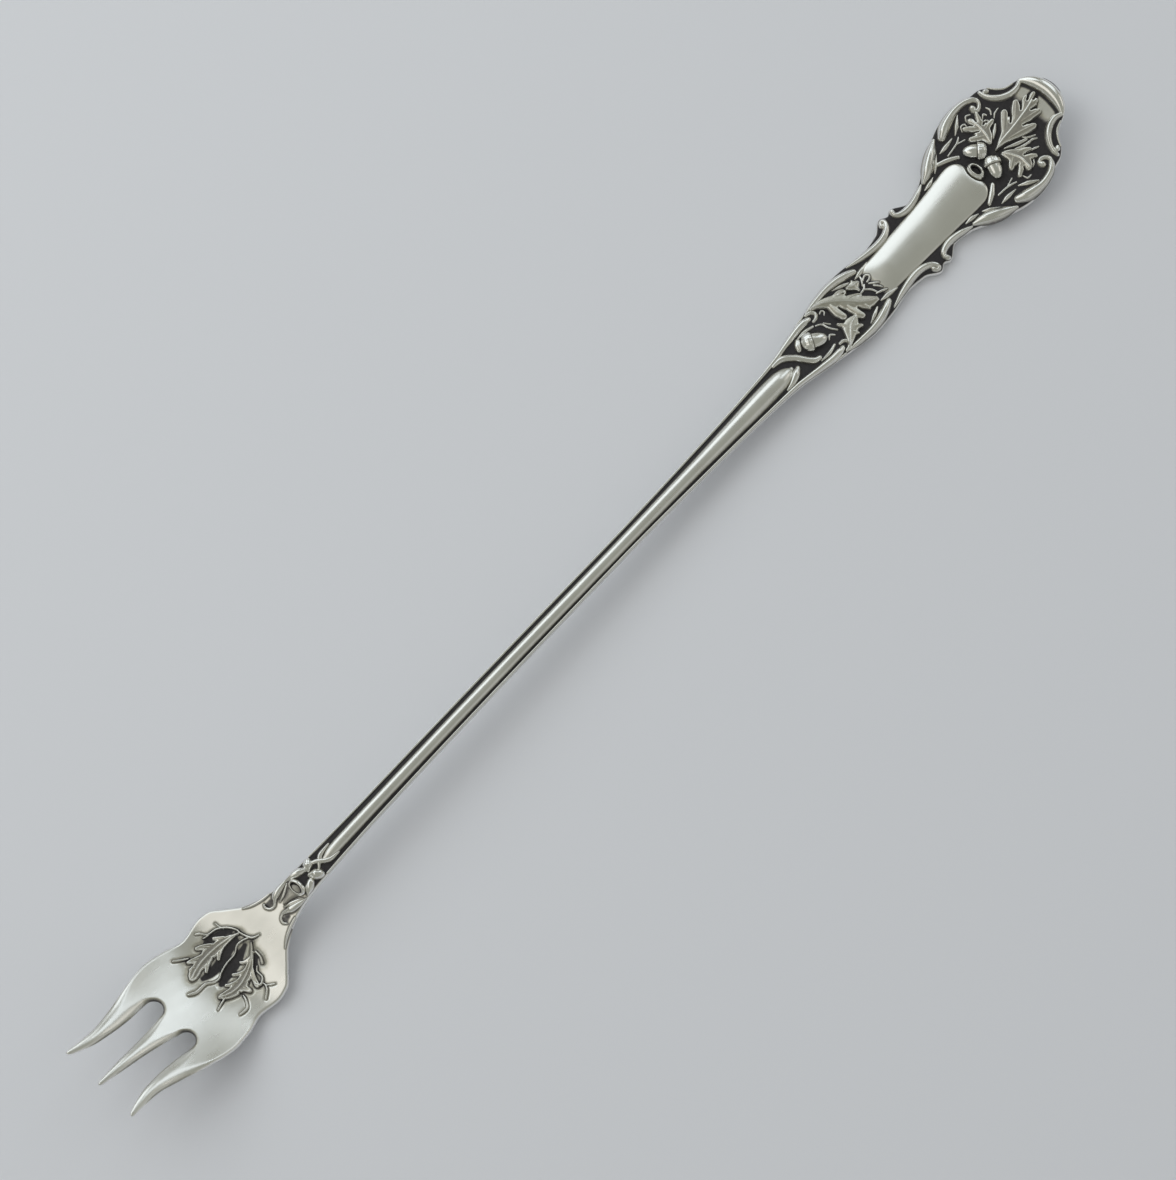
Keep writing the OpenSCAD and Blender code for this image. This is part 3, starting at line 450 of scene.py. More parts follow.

# The three tines: the palm's front sawn into prongs, filed round along their edges and drawn to fine tips.
# A painted shade lays a dark line low on their flanks, blackens the round ends of the slots and darkens their
# underside near its edges.
tine_stations = np.concatenate([
    tip_x * (1 - np.cos(np.linspace(0, math.pi / 2, 9)))[:-1], np.linspace(tip_x, taper_x, 47)[:-1],
    taper_x + slot_r * np.sin(np.linspace(0, math.pi / 2, 11)), np.linspace(slot_x, root_x, 11)[1:]])
for side, word in ((1, "left"), (0, "centre"), (-1, "right")):
    skinned_piece(f"tine_{word}_prong", f"tine_{word}", *band(tine_stations, side))

# The sprig's two leaves: raised by the die from the palm's own metal.
# Each is hollowed between its rim and its veins, and a thin line of black is left along its foot.
struck_silver = silver_material("struck_silver", 0.12)


def merged(a, b, soft):
    """The greater of two values, eased where they are nearly the same."""
    return np.maximum(a, b) + np.maximum(soft - np.abs(a - b), 0) ** 2 / (4 * soft)


def leaf_height(x, y, leaf, rise, swell, hollow_out, vein):
    """Height of one leaf above its ground, depth inside its outline, and the fields between its veins."""
    depth, veins = np.full(x.shape, -99.0), np.zeros(x.shape)
    for k, lobe in enumerate(leaf[0]):
        depth = merged(depth, -reach(x, y, lobe)[1], 0.2)
        half, strength = (0.16, 1) if k == 0 else (0.1, 0.35)
        thin = lobe * (1, 1, 0) + (0, 0, half)
        veins = np.maximum(veins, (1 - np.minimum(1, reach(x, y, thin)[0]) ** 2) * strength)
    for slit in leaf[1]:
        depth = -merged(-depth, -reach(x, y, slit)[1], 0.15)
    c = 1 - np.clip(depth / 0.26, 0, 1)
    wall = np.where(depth > 0, np.sqrt(1 - c * c), depth * 3)
    dome = 1 - (1 - np.clip(depth, 0, 1)) ** 2
    inside = step(0.14, 0.38, depth) * (1 - veins)
    height = (1 - swell) * wall + swell * dome - hollow_out * inside + vein * veins * (depth > 0)
    return rise * height, depth, inside


def leaf_form(leaves, tall, swell, hollow_out, vein, shade):
    """Height and brightness of leaves that overlap: how tall each is, and how its light follows its depth."""
    def form(x, y):
        rise, bright = np.full(x.shape, -1.0), np.zeros(x.shape)
        for leaf, peak in zip(leaves, tall):
            height, depth, inside = leaf_height(x, y, leaf, peak, swell, hollow_out, vein)
            bright = np.where(height > rise, shade(depth, inside), bright)
            rise = np.maximum(rise, height)
        return rise, bright
    return form


def relief_piece(name, node, box, height, ground=seat, grain=0.06, foot=0.3, metal=struck_silver):
    """A raised form given by its height over the ground, kept where it stands clear and closed below."""
    x, y = np.meshgrid(np.arange(box[0], box[2], grain), np.arange(box[1], box[3], grain), indexing="ij")
    rise, bright = height(x, y)
    clear = rise > -0.1
    cell = clear[:-1, :-1] & clear[1:, :-1] & clear[1:, 1:] & clear[:-1, 1:]
    i, j = np.nonzero(cell)
    wide = x.shape[1]
    corners = np.stack([i * wide + j, (i + 1) * wide + j, (i + 1) * wide + j + 1, i * wide + j + 1], -1)
    used, index = np.unique(corners, return_inverse=True)
    top = index.reshape(-1, 4)
    count = len(used)
    start, end = top.ravel(), np.roll(top, -1, 1).ravel()
    rim = ~np.isin(start * count + end, end * count + start)
    walls = np.stack([end[rim], start[rim], start[rim] + count, end[rim] + count], -1)
    px, py, base = x.ravel()[used], y.ravel()[used], ground(x, y).ravel()[used]
    high, low = base + rise.ravel()[used], base - foot
    points = np.vstack([np.stack([px, py, high], -1), np.stack([px, py, low], -1)])
    crest = np.tile(np.clip(bright.ravel()[used], 0, 1), 2)
    make_piece(name, node, points, np.vstack([top, top[:, ::-1] + count, walls]), crest, metal)


palm_leaf_form = leaf_form(palm_leaves, (0.5, 0.5), 0, 0.35, 0.2,
                           lambda depth, inside: step(-0.06, 0.04, depth) - 0.64 * inside)
relief_piece("palm_leaf_pair", "palm_leaves", (17.6, -4.9, 28.6, 6.2), palm_leaf_form,
             lambda x, y: seat(x, y) - leaf_sunk)


# The sprig's twigs: half-round stalks that the same die raises between and around the leaves.
# They fork, thin out and end in blunt buds.
def named(add, word):
    return add("GeometryNodeInputNamedAttribute", {"Name": word})["Attribute"]


def store(add, geometry, word, value):
    inputs = {"Geometry": geometry, "Name": word, "Value": value}
    return add("GeometryNodeStoreNamedAttribute", inputs)["Geometry"]


def coat(add, geometry, metal, word):
    """The end of a tree: its geometry made real, coated with its metal and handed out."""
    whole = add("GeometryNodeRealizeInstances", {"Geometry": geometry})["Geometry"]
    add("NodeGroupOutput", {word: add("GeometryNodeSetMaterial", {"Geometry": whole, "Material": metal})[0]})


def struck_moulding():
    """A raised stalk or scroll swept along paths that carry a half width at each point."""
    tree, add, work, given = new_tree(
        "struck_moulding", "GeometryNodeTree",
        {"Paths": "Geometry", "Height": "Float", "Foot": "Float", "Keel": "Float", "Wear": "Float",
         "Sides": "Int", "Metal": "Material"}, {"Moulding": "Geometry"})
    line = add("GeometryNodeCurvePrimitiveLine", {"Start": (-1, 0, 0), "End": (1, 0, 0)})["Curve"]
    sampled = add("GeometryNodeResampleCurve", {"Curve": line, "Count": given["Sides"]})["Curve"]
    where = add("ShaderNodeSeparateXYZ", {"Vector": add("GeometryNodeInputPosition")["Position"]})
    angle = work("MULTIPLY", where["X"], math.pi / 2)
    aside, dome = work("SINE", angle), work("COSINE", angle)
    roof = work("SUBTRACT", 1, work("ABSOLUTE", aside))
    shape = work("MULTIPLY_ADD", work("SUBTRACT", roof, dome), given["Keel"], dome)
    tall = work("SUBTRACT", given["Height"], given["Foot"])
    stands = work("MULTIPLY_ADD", tall, shape, given["Foot"])
    point = add("ShaderNodeCombineXYZ", {"X": aside, "Y": work("MULTIPLY", stands, -1)})["Vector"]
    drawn = add("GeometryNodeSetPosition", {"Geometry": sampled, "Position": point})["Geometry"]
    bright = add("ShaderNodeMapRange", {
        "Value": work("MULTIPLY", where["Y"], -1), "From Max": work("MULTIPLY", given["Height"], 0.75),
        "To Min": given["Wear"]})["Result"]
    marked = store(add, drawn, "crest", bright)
    ring = add("GeometryNodeSetSplineCyclic", {"Geometry": marked, "Cyclic": True})["Geometry"]
    paths = add("GeometryNodeMeshToCurve", {"Mesh": given["Paths"]})["Curve"]
    upright = add("GeometryNodeSetCurveNormal", {"Curve": paths}, mode="Z_UP")["Curve"]
    swept = add("GeometryNodeCurveToMesh", {
        "Curve": upright, "Profile Curve": ring, "Scale": named(add, "half"), "Fill Caps": True})["Mesh"]
    coat(add, swept, given["Metal"], "Moulding")
    return tree


moulding_tree = struck_moulding()


def capped(line):
    """The same line with both its ends rounded off."""
    ends = []
    for tip, back in ((line[0], line[1]), (line[-1], line[-2])):
        heading = (tip[:2] - back[:2]) / max(np.hypot(*(tip[:2] - back[:2])), 1e-6)
        ends.append([(*(tip[:2] + heading * tip[2] * math.sin(a)), max(tip[2] * math.cos(a), 0.01))
                     for a in np.radians((25, 50, 70, 86))])
    return np.vstack([ends[0][::-1], line, ends[1]])


def path_object(name, lines, ground):
    """Loose paths that carry the half width of what is swept along them."""
    points, edges = [], []
    for line in lines:
        edges += [(len(points) + k, len(points) + k + 1) for k in range(len(line) - 1)]
        points += [tuple(p) for p in line]
    p = np.array(points)
    place_at = np.stack([p[:, 0] - middle, p[:, 1], ground(p[:, 0], p[:, 1])], -1) / 1000
    mesh = bpy.data.meshes.new(name + "_paths")
    mesh.from_pydata(place_at.tolist(), edges, [])
    mark(mesh, "half", p[:, 2] / 1000)
    return into_scene(name + "_paths", mesh)


def grown(name, holder, tree, values):
    """The plain mesh that a tree makes of its paths, with named inputs set on its modifier."""
    rule = holder.modifiers.new("rule", "NODES")
    rule.node_group = tree
    for socket in tree.interface.items_tree:
        if socket.in_out == "INPUT" and socket.name in values:
            rule[socket.identifier] = values[socket.name]
    bpy.context.view_layer.update()
    ready = holder.evaluated_get(bpy.context.evaluated_depsgraph_get())
    mesh = bpy.data.meshes.new_from_object(ready)
    mesh.name = name
    holder.modifiers.remove(rule)
    bpy.data.objects.remove(holder)
    return into_scene(name, mesh)


def moulding(name, node, lines, height, foot=-0.5, keel=0.0, wear=0.4, sides=11, ground=seat,
             metal=struck_silver):
    """Lines swept by the moulding tree. Height and foot are shares of the half width, keel makes the top
    sharper, and wear is how bright the foot is."""
    holder = path_object(name, [capped(line) for line in lines], ground)
    place(grown(name, holder, moulding_tree, {"Height": height, "Foot": foot, "Keel": keel, "Wear": wear,
                                              "Sides": sides, "Metal": metal}), node)


moulding("palm_twig_set", "palm_twigs", palm_twigs, 2.0, -0.9, wear=0.6,
         ground=lambda x, y: seat(x, y) - twig_sunk)


# The neck: the blank drawn in behind the palm, where its edges are left bright and its ground is blackened.
# It swells in thickness here, since the fork bends most at this place.
def blank(name, node, stations, columns, crest_at):
    """A length of the plain blank with rounded edges and a blackened ground."""
    v = np.sin(np.linspace(-1, 1, columns) * math.pi / 2)[None, :]
    x = stations[:, None] + 0 * v
    y = half_width(x) * v
    gap = np.maximum(edge_gap(x, y), 0)
    top, low = faces_of(x, y, gap, np.minimum(0.4, np.maximum(half_width(x), 0.02)))
    skinned_piece(name, node, np.stack([x, y, top], -1), np.stack([x, y, low], -1), crest_at(x, y, gap),
                  1 + 0 * x, "oxidised_ground")


def neck_crest(x, y, gap):
    beside = 0.8 - 0.8 * step(0, 0.35, nearest(x, y, neck_strokes + pools))
    return 1 - step(0.12, 0.35, gap) * np.maximum(step(37, 38, x), beside)


blank("neck_blank", "neck", np.linspace(neck_x, stem_x, 70), 49, neck_crest)

# The neck's scrolls: two volutes with a leaf each, then buds, raised on either side of the cup.
# They are half-round strokes that thicken towards the middle.
moulding("neck_scroll_set", "neck_scrolls", neck_strokes, 1.0, wear=0.25)


# The neck's acorn cup: an empty oak cup lying on its side, its mouth towards the handle.
# The mouth is a bright ring round a dark hollow.
def domed(share, power):
    """A dome over shares from 0 in its middle to 1 at its edge, which falls away outside."""
    return np.where(share < 1, np.sqrt(np.maximum(0, 1 - share**power)), (1 - share) * 2)


def open_cup(x, y, at, outer, hole_at, hole, rise):
    """Height and brightness of an oval ring round a dark mouth."""
    ring = np.hypot((x - at[0]) / outer[0], (y - at[1]) / outer[1])
    mouth = np.hypot((x - hole_at[0]) / hole[0], (y - hole_at[1]) / hole[1])
    inside = 1 - step(0.7, 1.1, mouth)
    return rise * (domed(ring, 4) - 0.75 * inside), 1 - 1.1 * (1 - step(0.8, 1.15, mouth))


def neck_cup_form(x, y):
    ring, bright = open_cup(x, y, (37.5, 0), (0.95, 1.45), (37.35, 0), (0.5, 1.05), 0.95)
    share = reach(x, y, np.array([(34.7, 0, 0.2), (35.8, 0, 0.5), (36.9, 0, 1.1)]))[0]
    bowl = 0.35 * domed(share, 2)
    bright = np.where(ring > bowl, bright * step(0, 0.3, ring), 0.42 * step(0, 0.3, bowl))
    return np.maximum(ring, bowl), bright


relief_piece("neck_cup", "neck_acorn_cup", (34, -1.8, 38.8, 1.9), neck_cup_form, grain=0.05)

# The tie: two crossed twigs at the head of the stem's rib, as if they bound the neck to the stem.
# Both are half round and end under the rib.
tie_strokes = traced_set(
    [(41.3, 0.85, 0.34), (42, 0.45, 0.42), (42.7, -0.25, 0.44), (43.6, -0.75, 0.38), (45, -0.9, 0.18)],
    [(41.6, -0.35, 0.28), (42.2, 0.2, 0.36), (43, 0.75, 0.38), (44.8, 0.95, 0.18)],
)
moulding("neck_tie_twigs", "neck_tie", tie_strokes, 1.2)


# The stem: the long plain bar between neck and handle, rolled to an even section with a rounded back.
# Its flat top keeps its black on both sides of the rib.
def drawn_bar():
    """A bar whose section follows half width, thickness and belly along its path."""
    tree, add, work, given = new_tree(
        "drawn_bar", "GeometryNodeTree",
        {"Paths": "Geometry", "Sides": "Int", "Round": "Float", "Metal": "Material"}, {"Bar": "Geometry"})
    where = add("ShaderNodeSeparateXYZ", {"Vector": add("GeometryNodeInputPosition")["Position"]})
    section = add("GeometryNodeCurvePrimitiveCircle", {"Resolution": given["Sides"], "Radius": 1})["Curve"]
    for word, value in (("u", where["X"]), ("v", where["Y"])):
        size = work("POWER", work("ABSOLUTE", value), given["Round"])
        section = store(add, section, word, work("MULTIPLY", work("SIGN", value), size))
    path = add("GeometryNodeMeshToCurve", {"Mesh": given["Paths"]})["Curve"]
    for word, value in (("station", where["X"]), ("level", where["Z"])):
        path = store(add, path, word, value)
    swept = add("GeometryNodeCurveToMesh", {
        "Curve": path, "Profile Curve": section, "Scale": 0.001, "Fill Caps": True})["Mesh"]
    u, v, half, deep, bow, station, level = (
        named(add, word) for word in ("u", "v", "half", "thick", "belly", "station", "level"))
    down = work("MULTIPLY", work("SUBTRACT", 1, v), 0.5)
    bowed = work("MULTIPLY", work("MULTIPLY", bow, work("MULTIPLY", u, u)), down)
    high = work("ADD", work("SUBTRACT", level, work("MULTIPLY", down, deep)), bowed)
    point = add("ShaderNodeCombineXYZ", {"X": station, "Y": work("MULTIPLY", u, half), "Z": high})["Vector"]
    moved = add("GeometryNodeSetPosition", {"Geometry": swept, "Position": point})["Geometry"]
    bright_below = work("LESS_THAN", v, 0.84)
    coat(add, store(add, moved, "crest", bright_below), given["Metal"], "Bar")
    return tree


stem_stations = np.linspace(stem_x, spray_x, 191)
stem_line = np.stack([stem_stations, 0 * stem_stations, half_width(stem_stations)], -1)
bar_path = path_object("stem_bar", [stem_line], seat)
for word, table in (("thick", thick), ("belly", belly)):
    mark(bar_path.data, word, smooth(table, stem_stations) / 1000)
stem_bar = grown("stem_bar", bar_path, drawn_bar(), {"Sides": 48, "Round": 0.55, "Metal": satin_silver})
place(stem_bar, "stem", "oxidised_ground")

# The rib: a half-round bar raised along the middle of the stem, widening towards the handle.
# It starts under the tie and ends in a round nose among the twigs.
rib_table = np.array([
    (43, 0.35), (44, 0.72), (46, 0.9), (60, 0.9), (100, 0.96), (118, 1.12), (126, 1.34), (131, 1.52),
    (134.5, 1.6), (137, 1.52), (138.4, 1.2), (139.2, 0.78), (139.6, 0.4)])
rib_stations = np.concatenate([
    np.linspace(43, 46, 9)[:-1], np.linspace(46, 136, 120)[:-1], np.linspace(136, 139.6, 21)])
rib_aside = -0.06
rib_line = np.stack([rib_stations, 0 * rib_stations + rib_aside, smooth(rib_table, rib_stations)], -1)
moulding("stem_rib_bar", "stem_rib", [rib_line], 0.68, -0.25, wear=0.3, sides=23, metal=satin_silver)

# The edge beads: a fine round bead along each edge of the stem, which opens into the border's first strap.
# It is raised with the rib, and the groove between them is blackened.
bead_stations, bead_inset = np.linspace(41.8, 141, 150), 0.02
bead_half = np.array([(41.8, 0.18), (60, 0.2), (120, 0.22), (132, 0.27), (141, 0.46)])
for side, word in ((1, "left"), (-1, "right")):
    bead_r = smooth(bead_half, bead_stations)
    bead = np.stack([bead_stations, half_width(bead_stations) - bead_r - bead_inset, bead_r], -1)
    strap = traced([bead[-1], (143, 3.15, 0.55), (145, 3.4, 0.62), (146.4, 3.4, 0.6), (147.1, 3.3, 0.44)])
    line = np.vstack([bead[:-1], strap]) * (1, side, 1)
    moulding(f"edge_bead_{word}_wire", f"edge_bead_{word}", [line], 1.0)

# The handle's blade: the broad end of the blank, cut to a waisted outline with ears and a domed end.
# Its ground is blackened, so that what stands up from it is bright.
blade_stations = np.concatenate([
    np.linspace(spray_x, blunt_x, 420)[:-1],
    blunt_x + (end_x - blunt_x) * np.sin(np.linspace(0, math.pi / 2, 9))])
leaf_tip = [np.array([(191.6, 0.4, 1.5), (193.6, 1, 0.7)])]


def blade_crest(x, y, gap):
    """Black but for the edge and a lighter field between the largest leaf and the rim."""
    field = (step(191.4, 193, x) * (1 - step(2.8, 3.6, np.abs(y))) * step(0, 0.4, nearest(x, y, leaf_tip))
             * (1 - step(194, 194.4, x + 0.05 * y * y)))
    return 1 - step(0.02, 0.2, gap) * (1 - 0.85 * field)


blank("blade_blank", "handle_blade", blade_stations, 65, blade_crest)

# The plain panel: the smooth crowned field in the middle of the handle, left bare for a name.
# It is raised by the die and burnished, with soft rounded sides.
panel_half = np.array([(156, 2.4), (158, 2.8), (160, 3), (164, 3.2), (172, 3.55), (177.4, 3.9), (180, 3.9)])
panel_from, panel_to, panel_corner, panel_crown, panel_roll = 156.6, 179.7, 2.2, 0.8, 0.2
cup_at, cup_half = (180.1, 0.05), 1.58
tangle = traced_set(
    [(156.3, 1, 0.14), (156.9, 1.7, 0.18), (157.1, 2.2, 0.14)],
    [(157, 1.5, 0.14), (157.6, 1.75, 0.16), (158.05, 1.4, 0.16), (157.8, 0.95, 0.15), (157.2, 0.9, 0.13)],
    [(156.1, 0.4, 0.15), (156.7, -0.3, 0.18), (157, -1.2, 0.13)],
    [(157.2, 0.5, 0.13), (157.7, 0, 0.15), (158.2, -0.5, 0.12)],
    [(155.2, 0.4, 0.16), (156, 0.5, 0.18), (156.6, 0.9, 0.15)],
    [(157.4, -0.2, 0.12), (157.8, -0.8, 0.14), (158, -1.3, 0.1)],
    [(156.8, -1.3, 0.14), (157.5, -1.6, 0.16), (158.2, -2, 0.12)],
)


def panel_form(x, y):
    """Crowned across, rolled over at its edge, cleared round the empty cup and sinking below the twigs."""
    half = smooth(panel_half, x)
    side = np.abs(y) - half + panel_corner
    end = np.maximum(x - panel_to, panel_from - x) + panel_corner
    inside = (panel_corner - np.hypot(np.maximum(side, 0), np.maximum(end, 0))
              - np.minimum(np.maximum(side, end), 0))
    c, rise = 1 - np.clip(inside / 0.6, 0, 1), step(156.2, 161.5, x)
    last = np.clip((179.75 - x) / 2, 0, 1)
    crown = panel_crown * (1 - (y / half) ** 2) * rise * np.sqrt(last * (2 - last))
    roll = panel_roll * np.sqrt(1 - c * c) * (0.2 + 0.8 * step(panel_from, 158.5, x))
    free = step(0.95, 1.25, np.hypot((x - cup_at[0]) / 1.02, (y - cup_at[1]) / cup_half))
    shade = step(157.2, 158.6, x) * step(0, 0.25, nearest(x, y, tangle)) * free
    height = np.where(inside > 0, (np.maximum(crown, 0) + roll) * free, inside * 1.5)
    return height, step(-0.02, 0.2, inside) * shade


relief_piece("panel_field", "plain_panel", (155.8, -4.2, 180, 4.2), panel_form, grain=0.08,
             metal=satin_silver)

# The border: straps, scrolls and pointed leaves that follow each other along both edges, left as right.
# They are half round with a slight keel, and the larger scrolls end in small curled balls.
border_lines = traced_set(
    [(144.6, 3.85, 0.1), (145.8, 4.05, 0.17), (146.9, 4.2, 0.14)],
    [(147.3, 4, 0.28), (148.1, 3.8, 0.4), (148.45, 3.2, 0.4), (148.05, 2.65, 0.36), (147.4, 2.55, 0.28)],
    [(147.6, 4.2, 0.16), (148.6, 4.3, 0.4), (150, 4.42, 0.54), (152.3, 4.52, 0.66), (154.3, 4.3, 0.74),
     (156, 3.8, 0.72), (157, 3.45, 0.55)],
    [(156.9, 4.6, 0.14), (158.6, 4.15, 0.42), (160.6, 3.75, 0.6), (162.6, 3.55, 0.66), (164.2, 3.75, 0.64),
     (165.4, 4.35, 0.58), (165.85, 5.05, 0.48), (165.7, 5.5, 0.38), (165.3, 5.45, 0.34), (165.1, 5.05, 0.48)],
    [(167.75, 5.35, 0.5), (167.65, 4.8, 0.5), (168.2, 4.25, 0.58), (169.4, 3.95, 0.64), (170.9, 4.05, 0.6),
     (172.4, 4.45, 0.5), (173.6, 4.9, 0.2)],
    [(181, 7.35, 0.75), (182, 7.85, 1), (183.2, 8.25, 0.98), (184.9, 8.55, 0.72), (186.6, 8.35, 0.6),
     (187.8, 7.75, 0.52), (188.3, 7, 0.44), (188.05, 6.3, 0.42), (187.4, 5.95, 0.42), (186.9, 6.25, 0.46),
     (187, 6.65, 0.62)],
    [(189.4, 7.35, 0.38), (189.5, 6.5, 0.5), (190, 5.4, 0.6), (190.95, 4.35, 0.64), (192.15, 3.72, 0.64),
     (193.3, 3.62, 0.54), (194.1, 3.95, 0.38)],
    [(190.05, 6.9, 0.42), (190.2, 6.75, 0.38)],
    [(190.6, 7, 0.12), (191.2, 5.95, 0.18), (192.1, 5, 0.18), (193.3, 4.55, 0.14)],
    [(143.6, 2.4, 0.12), (145.2, 2.4, 0.36), (146.7, 2.1, 0.25)],
    [(152.8, 3.75, 0.1), (154.1, 3.25, 0.38), (155.2, 2.8, 0.24)],
    [(156.4, 2.5, 0.14), (157.8, 2.65, 0.5), (159.4, 2.95, 0.14)],
    [(173.4, 3.95, 0.14), (174.5, 4.05, 0.42), (175.6, 4.35, 0.12)],
    [(174.2, 4.9, 0.4), (175.6, 5.5, 0.95), (177, 6.3, 1.08), (178.4, 7.1, 0.9), (179.9, 7.95, 0.3)],
    [(176.3, 4.55, 0.12), (177.2, 5.2, 0.34), (178.5, 6.25, 0.14)],
    [(179, 5.95, 0.12), (180.2, 5.95, 0.44), (181.8, 6.1, 0.12)],
    [(182.5, 6.05, 0.15), (183.7, 6.85, 0.42), (184.9, 7.75, 0.15)],
)
for side, word in ((1, "left"), (-1, "right")):
    lines = [line * (1, side, 1) for line in border_lines]
    moulding(f"border_{word}_scrolls", f"border_scrolls_{word}", lines, 1.05, keel=0.2, wear=0.25)

# The rim: a heavy plain roll round the domed end of the handle, thickest in its middle.
# It closes the border, whose last scrolls meet its ends.
rim_line = traced([
    (194.35, 3.95, 0.4), (194.95, 3.1, 0.75), (195.5, 1.8, 1.05), (195.75, 0, 1.15), (195.5, -1.8, 1.05),
    (194.95, -3.1, 0.75), (194.35, -3.95, 0.4)])
moulding("end_rim", "crown_rim", [rim_line], 0.8, -0.3, wear=0.5, sides=19)

# The crown's leaves: three oak leaves fanned out from one stalk under the rim, with narrow slips between.
# The middle one is the largest and its lobes stand clear of each other.
crown_leaves = leaf_set(
    (([(184.3, -0.1, 0.12), (186, 0.1, 0.65), (188, 0.1, 1.3), (190, 0.2, 1.6), (191.8, 0.35, 1.3),
       (193.1, 0.6, 0.65)],
      [(186.8, 0.5, 0.45), (188.1, 1.6, 0.6), (189.2, 2.55, 0.6)],
      [(189.4, 0.7, 0.6), (190.6, 1.65, 0.68), (191.3, 2.2, 0.58)],
      [(191.4, 0.8, 0.55), (192.4, 1.4, 0.55), (193, 1.5, 0.42)],
      [(192.6, 0.9, 0.45), (193.8, 1.05, 0.44)],
      [(192.6, 0.3, 0.4), (193.4, 0.1, 0.34)],
      [(186.8, -0.5, 0.4), (188.7, -1.25, 0.66), (190.3, -2, 0.58)],
      [(189.8, -0.3, 0.6), (191.4, -0.8, 0.64), (192.4, -1.2, 0.48)]),
     ([(188.7, 0.95, 0.02), (189.4, 1.5, 0.07), (190.1, 2.7, 0.16)],
      [(191, 1, 0.02), (191.6, 1.5, 0.07), (192.1, 2.3, 0.16)],
      [(192.6, 1.2, 0.03), (193.4, 1.6, 0.12)],
      [(189.5, -0.8, 0.02), (190.3, -1.2, 0.08), (191.3, -2.1, 0.17)],
      [(191.9, -0.2, 0.04), (192.8, -0.55, 0.14)], [(193.2, 0.55, 0.03), (194.2, 0.6, 0.12)])),
    (([(184.7, 1.3, 0.35), (185.1, 2.5, 0.95), (185.35, 3.7, 1.25), (185.4, 4.7, 1), (185.3, 5.7, 0.45)],
      [(184.9, 2.6, 0.55), (184.1, 3.1, 0.56), (183.3, 3.75, 0.46)],
      [(185.1, 4.2, 0.6), (184.5, 4.8, 0.52), (183.9, 5.5, 0.4)],
      [(185.8, 4.3, 0.55), (186.3, 5, 0.46), (186.7, 5.7, 0.34)],
      [(185.8, 3.1, 0.5), (186.7, 3.2, 0.46), (187.3, 3.2, 0.38)]),
     ([(183.6, 4.6, 0.14), (184.5, 4, 0.05), (184.9, 3.7, 0.02)], [(186.9, 4.1, 0.14), (186.1, 3.85, 0.03)],
      [(184.6, 5.8, 0.12), (185, 5, 0.04)], [(186, 5.8, 0.12), (185.8, 5, 0.03)])),
    (([(185.4, 1.3, 0.1), (186.3, 1.9, 0.34), (187.2, 2.5, 0.24)],), ()),
    (([(184.6, -1.2, 0.35), (185.2, -2.4, 0.95), (185.6, -3.7, 1.25), (185.5, -4.9, 0.9), (185.4, -5.6, 0.4)],
      [(185, -2.8, 0.55), (184.3, -3.2, 0.56), (183.8, -3.55, 0.48)],
      [(185.4, -4.4, 0.55), (184.5, -4.8, 0.5), (183.7, -5.2, 0.4)],
      [(186.2, -4.1, 0.5), (186.8, -4.6, 0.46), (187.3, -5.1, 0.34)],
      [(186, -2.8, 0.5), (186.9, -3.3, 0.44), (187.5, -3.8, 0.34)]),
     ([(183.8, -4.2, 0.13), (184.8, -3.95, 0.04)], [(187.2, -4.15, 0.13), (186.4, -3.75, 0.04)],
      [(184.6, -5.6, 0.12), (185, -4.9, 0.03)])),
    (([(185.3, -0.85, 0.12), (186.8, -1.7, 0.32), (188.3, -2.45, 0.24)],), ()),
    (([(186.2, -2.1, 0.12), (187.3, -2.75, 0.28), (188.5, -3.1, 0.22)],), ()),
)
# Painted shade: the middle of each leaf, away from its rim and veins, is darkened.
crown_leaf_form = leaf_form(crown_leaves, (0.75, 0.65, 0.5, 0.65, 0.5, 0.45), 0.15, 0, 0.1,
                            lambda depth, inside: 0.2 + 0.75 * step(0, 0.12, depth) - 0.55 * inside)
relief_piece("crown_leaf_fan", "crown_leaves", (182.6, -6.6, 194.8, 6.7), crown_leaf_form)

# The spray's leaves: one large oak leaf across the handle below the panel, with two smaller ones beside it.
# They are swollen in the middle and stand a little lower than the acorn.
spray_leaves = leaf_set(
    (([(148.5, 4.05, 0.28), (150, 3.5, 0.65), (151.4, 2.45, 1.1), (152.5, 1.35, 1.3), (153.3, 0.4, 1.25),
       (154, -0.5, 1.1), (155, -1.35, 0.95), (156, -1.9, 0.5)],
      [(150.8, 2.3, 0.65), (150.65, 1, 0.74), (150.85, -0.1, 0.66)],
      [(152.4, 0.4, 0.6), (152.5, -1, 0.74), (152.75, -2, 0.62)],
      [(153.4, 1.1, 0.45), (154.3, 0.75, 0.4), (155, 0.25, 0.32)],
      [(154.2, -1.4, 0.5), (154.3, -2, 0.36)],
      [(151.9, 2.7, 0.45), (152.9, 2.9, 0.36), (153.7, 2.55, 0.32), (153.8, 2.05, 0.24), (153.3, 1.9, 0.18)]),
     ([(151.4, 1.2, 0.05), (151.55, -0.2, 0.14), (151.7, -1.2, 0.25)],
      [(153.3, -0.9, 0.06), (153.5, -2, 0.18)], [(153.6, 1.7, 0.05), (154.5, 1.4, 0.15)])),
    (([(151.6, -1.6, 0.6), (150.4, -2, 1.2), (149.4, -2.8, 0.85), (148.3, -3.7, 0.35)],
      [(149.9, -1.5, 0.55), (149.35, -0.4, 0.26)],
      [(150.8, -2.5, 0.55), (151.6, -3.05, 0.3)],
      [(150, -2.9, 0.4), (150.4, -3.5, 0.22)]),
     ()),
    (([(154.5, 2.3, 0.35), (155.4, 1.9, 0.7), (156.05, 1.85, 0.4)],
      [(155.4, 1.8, 0.5), (155.4, 0.95, 0.28)],
      [(155.2, 2.1, 0.4), (155.7, 2.6, 0.24)]),
     ()),
)
